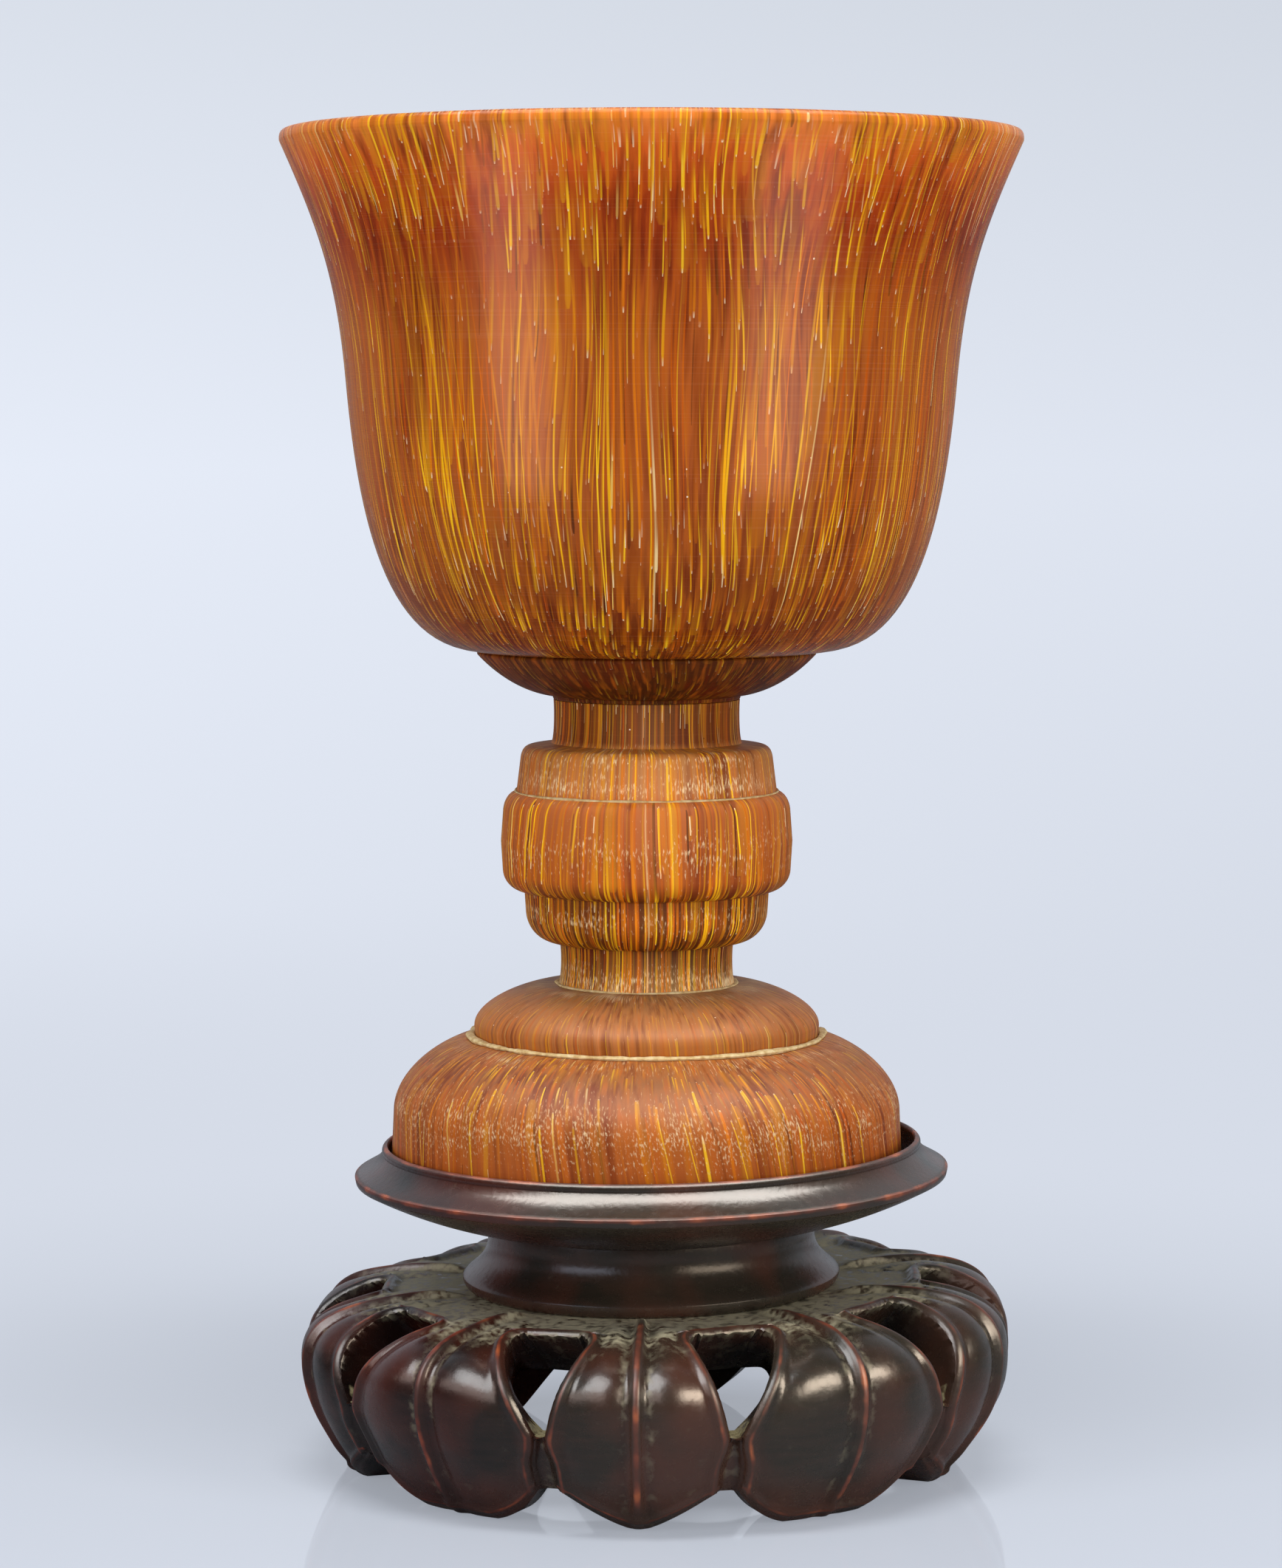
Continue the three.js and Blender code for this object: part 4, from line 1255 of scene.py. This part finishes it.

# %% [markdown]
# ### Waxed hardwood
#
# The stand is a dense hardwood stained nearly black and polished with wax. Wax gives it a soft gloss
# with broad highlights. On the crests the stain is rubbed away to red wood, and dust dulls the hollows
# to a grey olive. The left side is redder, and a thin grey film over the right is partly dust and partly
# painted sheen.

# %% Hardwood
GRAIN_SIZE = (4.0, 4.0, 0.625)
PATCH_SIZE = 11.1
MOTTLE_SIZE = 0.77
RUBBED_SIZE = 3.57
FILM_SIZE = 1.82
REDDER_SIDE = (-4.0, -16.0)  # from the middle to the left
# Partly painted sheen: the grey film rises over this span to the right side, and it is partly dust.
FILM_AND_SHEEN_SIDE = (-22.0, 0.0)

add = material("waxed_hardwood", [tray, waist, leaf])
place = add("VectorMath.SCALE", add("TexCoord").outputs["Object"], {"Scale": 1 / MM})
sideways = add("SeparateXYZ", place)
painted = [add("Attribute", attribute_name=layer) for layer in ("wear", "dust", "residue")]
wear, dust, residue = [layer.outputs["Fac"] for layer in painted]
mottle = clouds(add, place, MOTTLE_SIZE, 5.0)
rubbed = clouds(add, place, RUBBED_SIZE, 3.0)
wood = [(0.3, "#120b09"), (0.55, "#1c110e"), (0.8, "#271511")]
colour = add("ValToRGB", clouds(add, place, GRAIN_SIZE, 4.0), ramp=wood)
left = add("MapRange", sideways, *REDDER_SIDE, 0, 0.09)
ruddy = add("Math.ADD", clouds(add, place, PATCH_SIZE, 2.0), left)
ruddy = add("MapRange", ruddy, 0.44, 0.64, 0, 0.7)
worn = add("Math.MULTIPLY_ADD", mottle, 0.3, rubbed)
worn = add("Math.MULTIPLY_ADD", wear, 0.8, worn)
worn = add("MapRange", worn, 1.1, 1.6, 0, 0.85)
red = add("ValToRGB", rubbed, ramp=[(0.35, "#4a160a"), (0.55, "#762a10"), (0.7, "#a8501f")])
# Partly painted sheen: a thin grey film over the right side, partly dust.
film_and_sheen = add("MapRange", sideways, *FILM_AND_SHEEN_SIDE, 0, 0.06)
grains = add("MapRange", mottle, 0.35, 0.65, 0.45, 1.45)
dust = add("Math.MULTIPLY", dust, grains)
grey = add("Math.MULTIPLY_ADD", clouds(add, place, FILM_SIZE, 4.0), 1.2, dust)
grey = add("MapRange", grey, 0.75, 1.75, 0, 0.95, interpolation_type="SMOOTHSTEP")
cream = add("Math.MULTIPLY", mottle, residue)
cream = add("MapRange", cream, 0.3, 0.5, 0, 1)
coats = [(ruddy, "#461a0f"), (worn, red), (film_and_sheen, "#978d73"), (grey, "#989074"), (cream, "#948a68")]
for share, tint in coats:
    colour = add("MixRGB", share, colour, tint)
rough = add("Math.MULTIPLY_ADD", mottle, 0.14, 0.19)
rough = add("Math.MULTIPLY_ADD", wear, 0.2, rough)
rough = add("Math.MULTIPLY_ADD", grey, 0.5, rough)
bump = add("Bump", {"Strength": 0.25, "Distance": 0.00012, "Height": mottle})
surface = add("BsdfPrincipled", {
    "Base Color": colour,
    "Roughness": rough,
    "IOR": 1.5,
    "Specular IOR Level": 0.6,
    "Normal": bump,
})
add("OutputMaterial", surface)

# %% [markdown]
# ## Stage and light
#
# The photograph was lit in a small tent: a panel on each side, one above, and a pale glossy floor. The
# floor fades out with distance, so no horizon shows from any side. Large lamps give the plain light,
# and one more lights the stem alone, which the bowl shades. The milky patches on the bowl and the bright
# bands on the petals are reflections, and those come from cards: lamps that show in gloss alone. Each is
# linked to the pieces it is meant for, so it can be placed for them without showing in the others.

# %% Floor
FLOOR_SIZE = 1.4  # metres, as all of the stage
FLOOR_DROP = 0.0001  # keeps the floor just clear of the petals' tips
FLOOR_FADE = (0.22, 0.6)  # distances over which the floor fades out
GLOW_RISE = (0.05, 0.2)  # distances over which its own glow takes over from the light that falls on it

reach = FLOOR_SIZE / 2
corners = [(-reach, -reach, 0), (reach, -reach, 0), (reach, reach, 0), (-reach, reach, 0)]
floor_mesh = bpy.data.meshes.new("floor")
floor_mesh.from_pydata(corners, [], [(0, 1, 2, 3)])
floor = bpy.data.objects.new("floor", floor_mesh)
scene.collection.objects.link(floor)
floor.location.z = -FLOOR_DROP
add = material("pale_floor", [floor])
place = add("TexCoord").outputs["Object"]
away = add("VectorMath.LENGTH", place).outputs["Value"]
shown = add("MapRange", away, *FLOOR_FADE, 1, 0, interpolation_type="SMOOTHSTEP")
seen = add("LightPath")
shade = add("MixRGB", seen.outputs["Is Glossy Ray"], "#cbd1db", "#85888e")
surface = add("BsdfPrincipled", {"Base Color": shade, "Roughness": 0.04, "IOR": 1.6})
glow = add("Emission", "#d6dce8", 1.0)
share = add("MapRange", away, *GLOW_RISE, 0.4, 1, interpolation_type="SMOOTHSTEP")
share = add("Math.MULTIPLY", share, seen.outputs["Is Camera Ray"])
surface = add("MixShader", share, surface, glow)
clear = add("BsdfTransparent")
surface = add("MixShader", shown, clear, surface)
add("OutputMaterial", surface)

# %% Panels


def panel(name, place, aim, size, radiance, colour="#ffffff", gloss_only=False, only=None):
    """A flat lamp. It lights what it faces, or shows in gloss alone, and may be kept to a few pieces."""
    lamp = bpy.data.lights.new(name, "AREA")
    lamp.shape = "RECTANGLE"
    lamp.size, lamp.size_y = size
    lamp.energy = radiance * math.pi * size[0] * size[1]
    lamp.color = linear(colour)[:3]
    made = bpy.data.objects.new(name, lamp)
    made.location = place
    made.rotation_euler = (Vector(aim) - Vector(place)).to_track_quat("-Z", "Y").to_euler()
    made.visible_camera = False
    made.visible_diffuse = not gloss_only
    made.visible_glossy = gloss_only
    if only:
        lit = bpy.data.collections.new(name + "_lights")
        for piece in only:
            lit.objects.link(piece)
        made.light_linking.receiver_collection = lit
    scene.collection.objects.link(made)
    print(f"{name}: {lamp.energy:.2f} W")


panel("left_panel", (-0.43, -0.35, 0.16), (0, 0, 0.1), (0.2, 0.3), 6.9)
panel("right_panel", (0.43, -0.35, 0.16), (0, 0, 0.1), (0.2, 0.3), 8.0)
panel("top_panel", (0, -0.17, 0.6), (0, 0, 0.04), (0.34, 0.12), 18.0)
panel("front_stem_fill", (0.03, -0.32, 0.4), (0, 0, 0.08), (0.2, 0.12), 17.0, only=[stem])

# %% Cards
CARD_DISTANCE = 0.23
BOWL_CARD_DISTANCE = 0.052  # close to the wall, so that the cards don't reach round to the back of the bowl


def beside(azimuth, level, distance=CARD_DISTANCE):
    """A place in front of the cup, at an angle to the right of the camera's side, and what it aims at."""
    turn = math.radians(azimuth)
    place = (distance * math.sin(turn), -distance * math.cos(turn), level)
    return place, (0, 0, level)


topped_pieces = [bowl, collar, stem, foot_upper, foot_lower, tray]
# Each card: name, place and aim, size, radiance, colour and the pieces that show it.
cards = [
    ("left_leaf_card", beside(-46, 0.12), (0.3, 0.1), 2.6, "#ffe6dc", [leaf]),
    ("right_leaf_card", beside(47, 0.12), (0.2, 0.1), 15.5, "#ffecd4", [leaf]),
    ("high_leaf_card", ((-0.24, -0.24, 0.42), (0, 0, 0)), (0.4, 0.3), 8.0, "#ffffff", [leaf]),
    ("left_waist_card", beside(-46, 0.09), (0.16, 0.07), 2.2, "#dfe8ff", [waist]),
    ("right_waist_card", beside(42, 0.09), (0.16, 0.07), 4.6, "#ffe8cc", [waist]),
    ("left_bowl_card", beside(-34, 0.114, BOWL_CARD_DISTANCE), (0.0145, 0.031), 12.0, "#fff2e0", [bowl]),
    ("right_bowl_card", beside(33, 0.114, BOWL_CARD_DISTANCE), (0.017, 0.031), 11.6, "#fff2e0", [bowl]),
    ("front_stem_card", beside(2, 0.12), (0.16, 0.12), 12.0, "#fff2e0", [stem]),
    ("top_card", ((0.02, -0.16, 0.6), (0.02, -0.16, 0)), (0.9, 0.55), 15.0, "#fff8f0", topped_pieces),
]
for name, (place, aim), size, radiance, colour, pieces in cards:
    panel(name, place, aim, size, radiance, colour, gloss_only=True, only=pieces)

# %% World
ROOM_LIGHT = (0.55, 0.55, 0.55, 1)

world = bpy.data.worlds.new("pale_room")
scene.world = world
world.use_nodes = True
world.node_tree.nodes.clear()
add = functools.partial(node, world.node_tree)
way = add("SeparateXYZ", add("TexCoord").outputs["Generated"])
backdrop = add("MapRange", way.outputs[2], -0.15, 0.12, 0, 1)
backdrop = add("ValToRGB", backdrop, ramp=[(0.0, "#d9dfeb"), (0.5, "#e3e9f5"), (1.0, "#d3d9e3")])
behind = add("MapRange", way.outputs[1], 0, 0.7, 0.06, 0.75, interpolation_type="SMOOTHSTEP")
raised = add("MapRange", way.outputs[2], -0.02, 0.1, 0.4, 1)
behind = add("Math.MULTIPLY", behind, raised)
seen = add("LightPath")
mirrored = (seen.outputs["Is Glossy Ray"], seen.outputs["Is Transmission Ray"])
mirrored = add("Math.MAXIMUM", *mirrored)
strength = add("MixRGB", mirrored, ROOM_LIGHT, behind)
across = add("MapRange", way.outputs[0], -0.14, 0.14, 1.03, 0.95)
strength = add("MixRGB", seen.outputs["Is Camera Ray"], strength, across)
light = add("Background", backdrop, strength)
add("OutputWorld", light)
print("world lit")
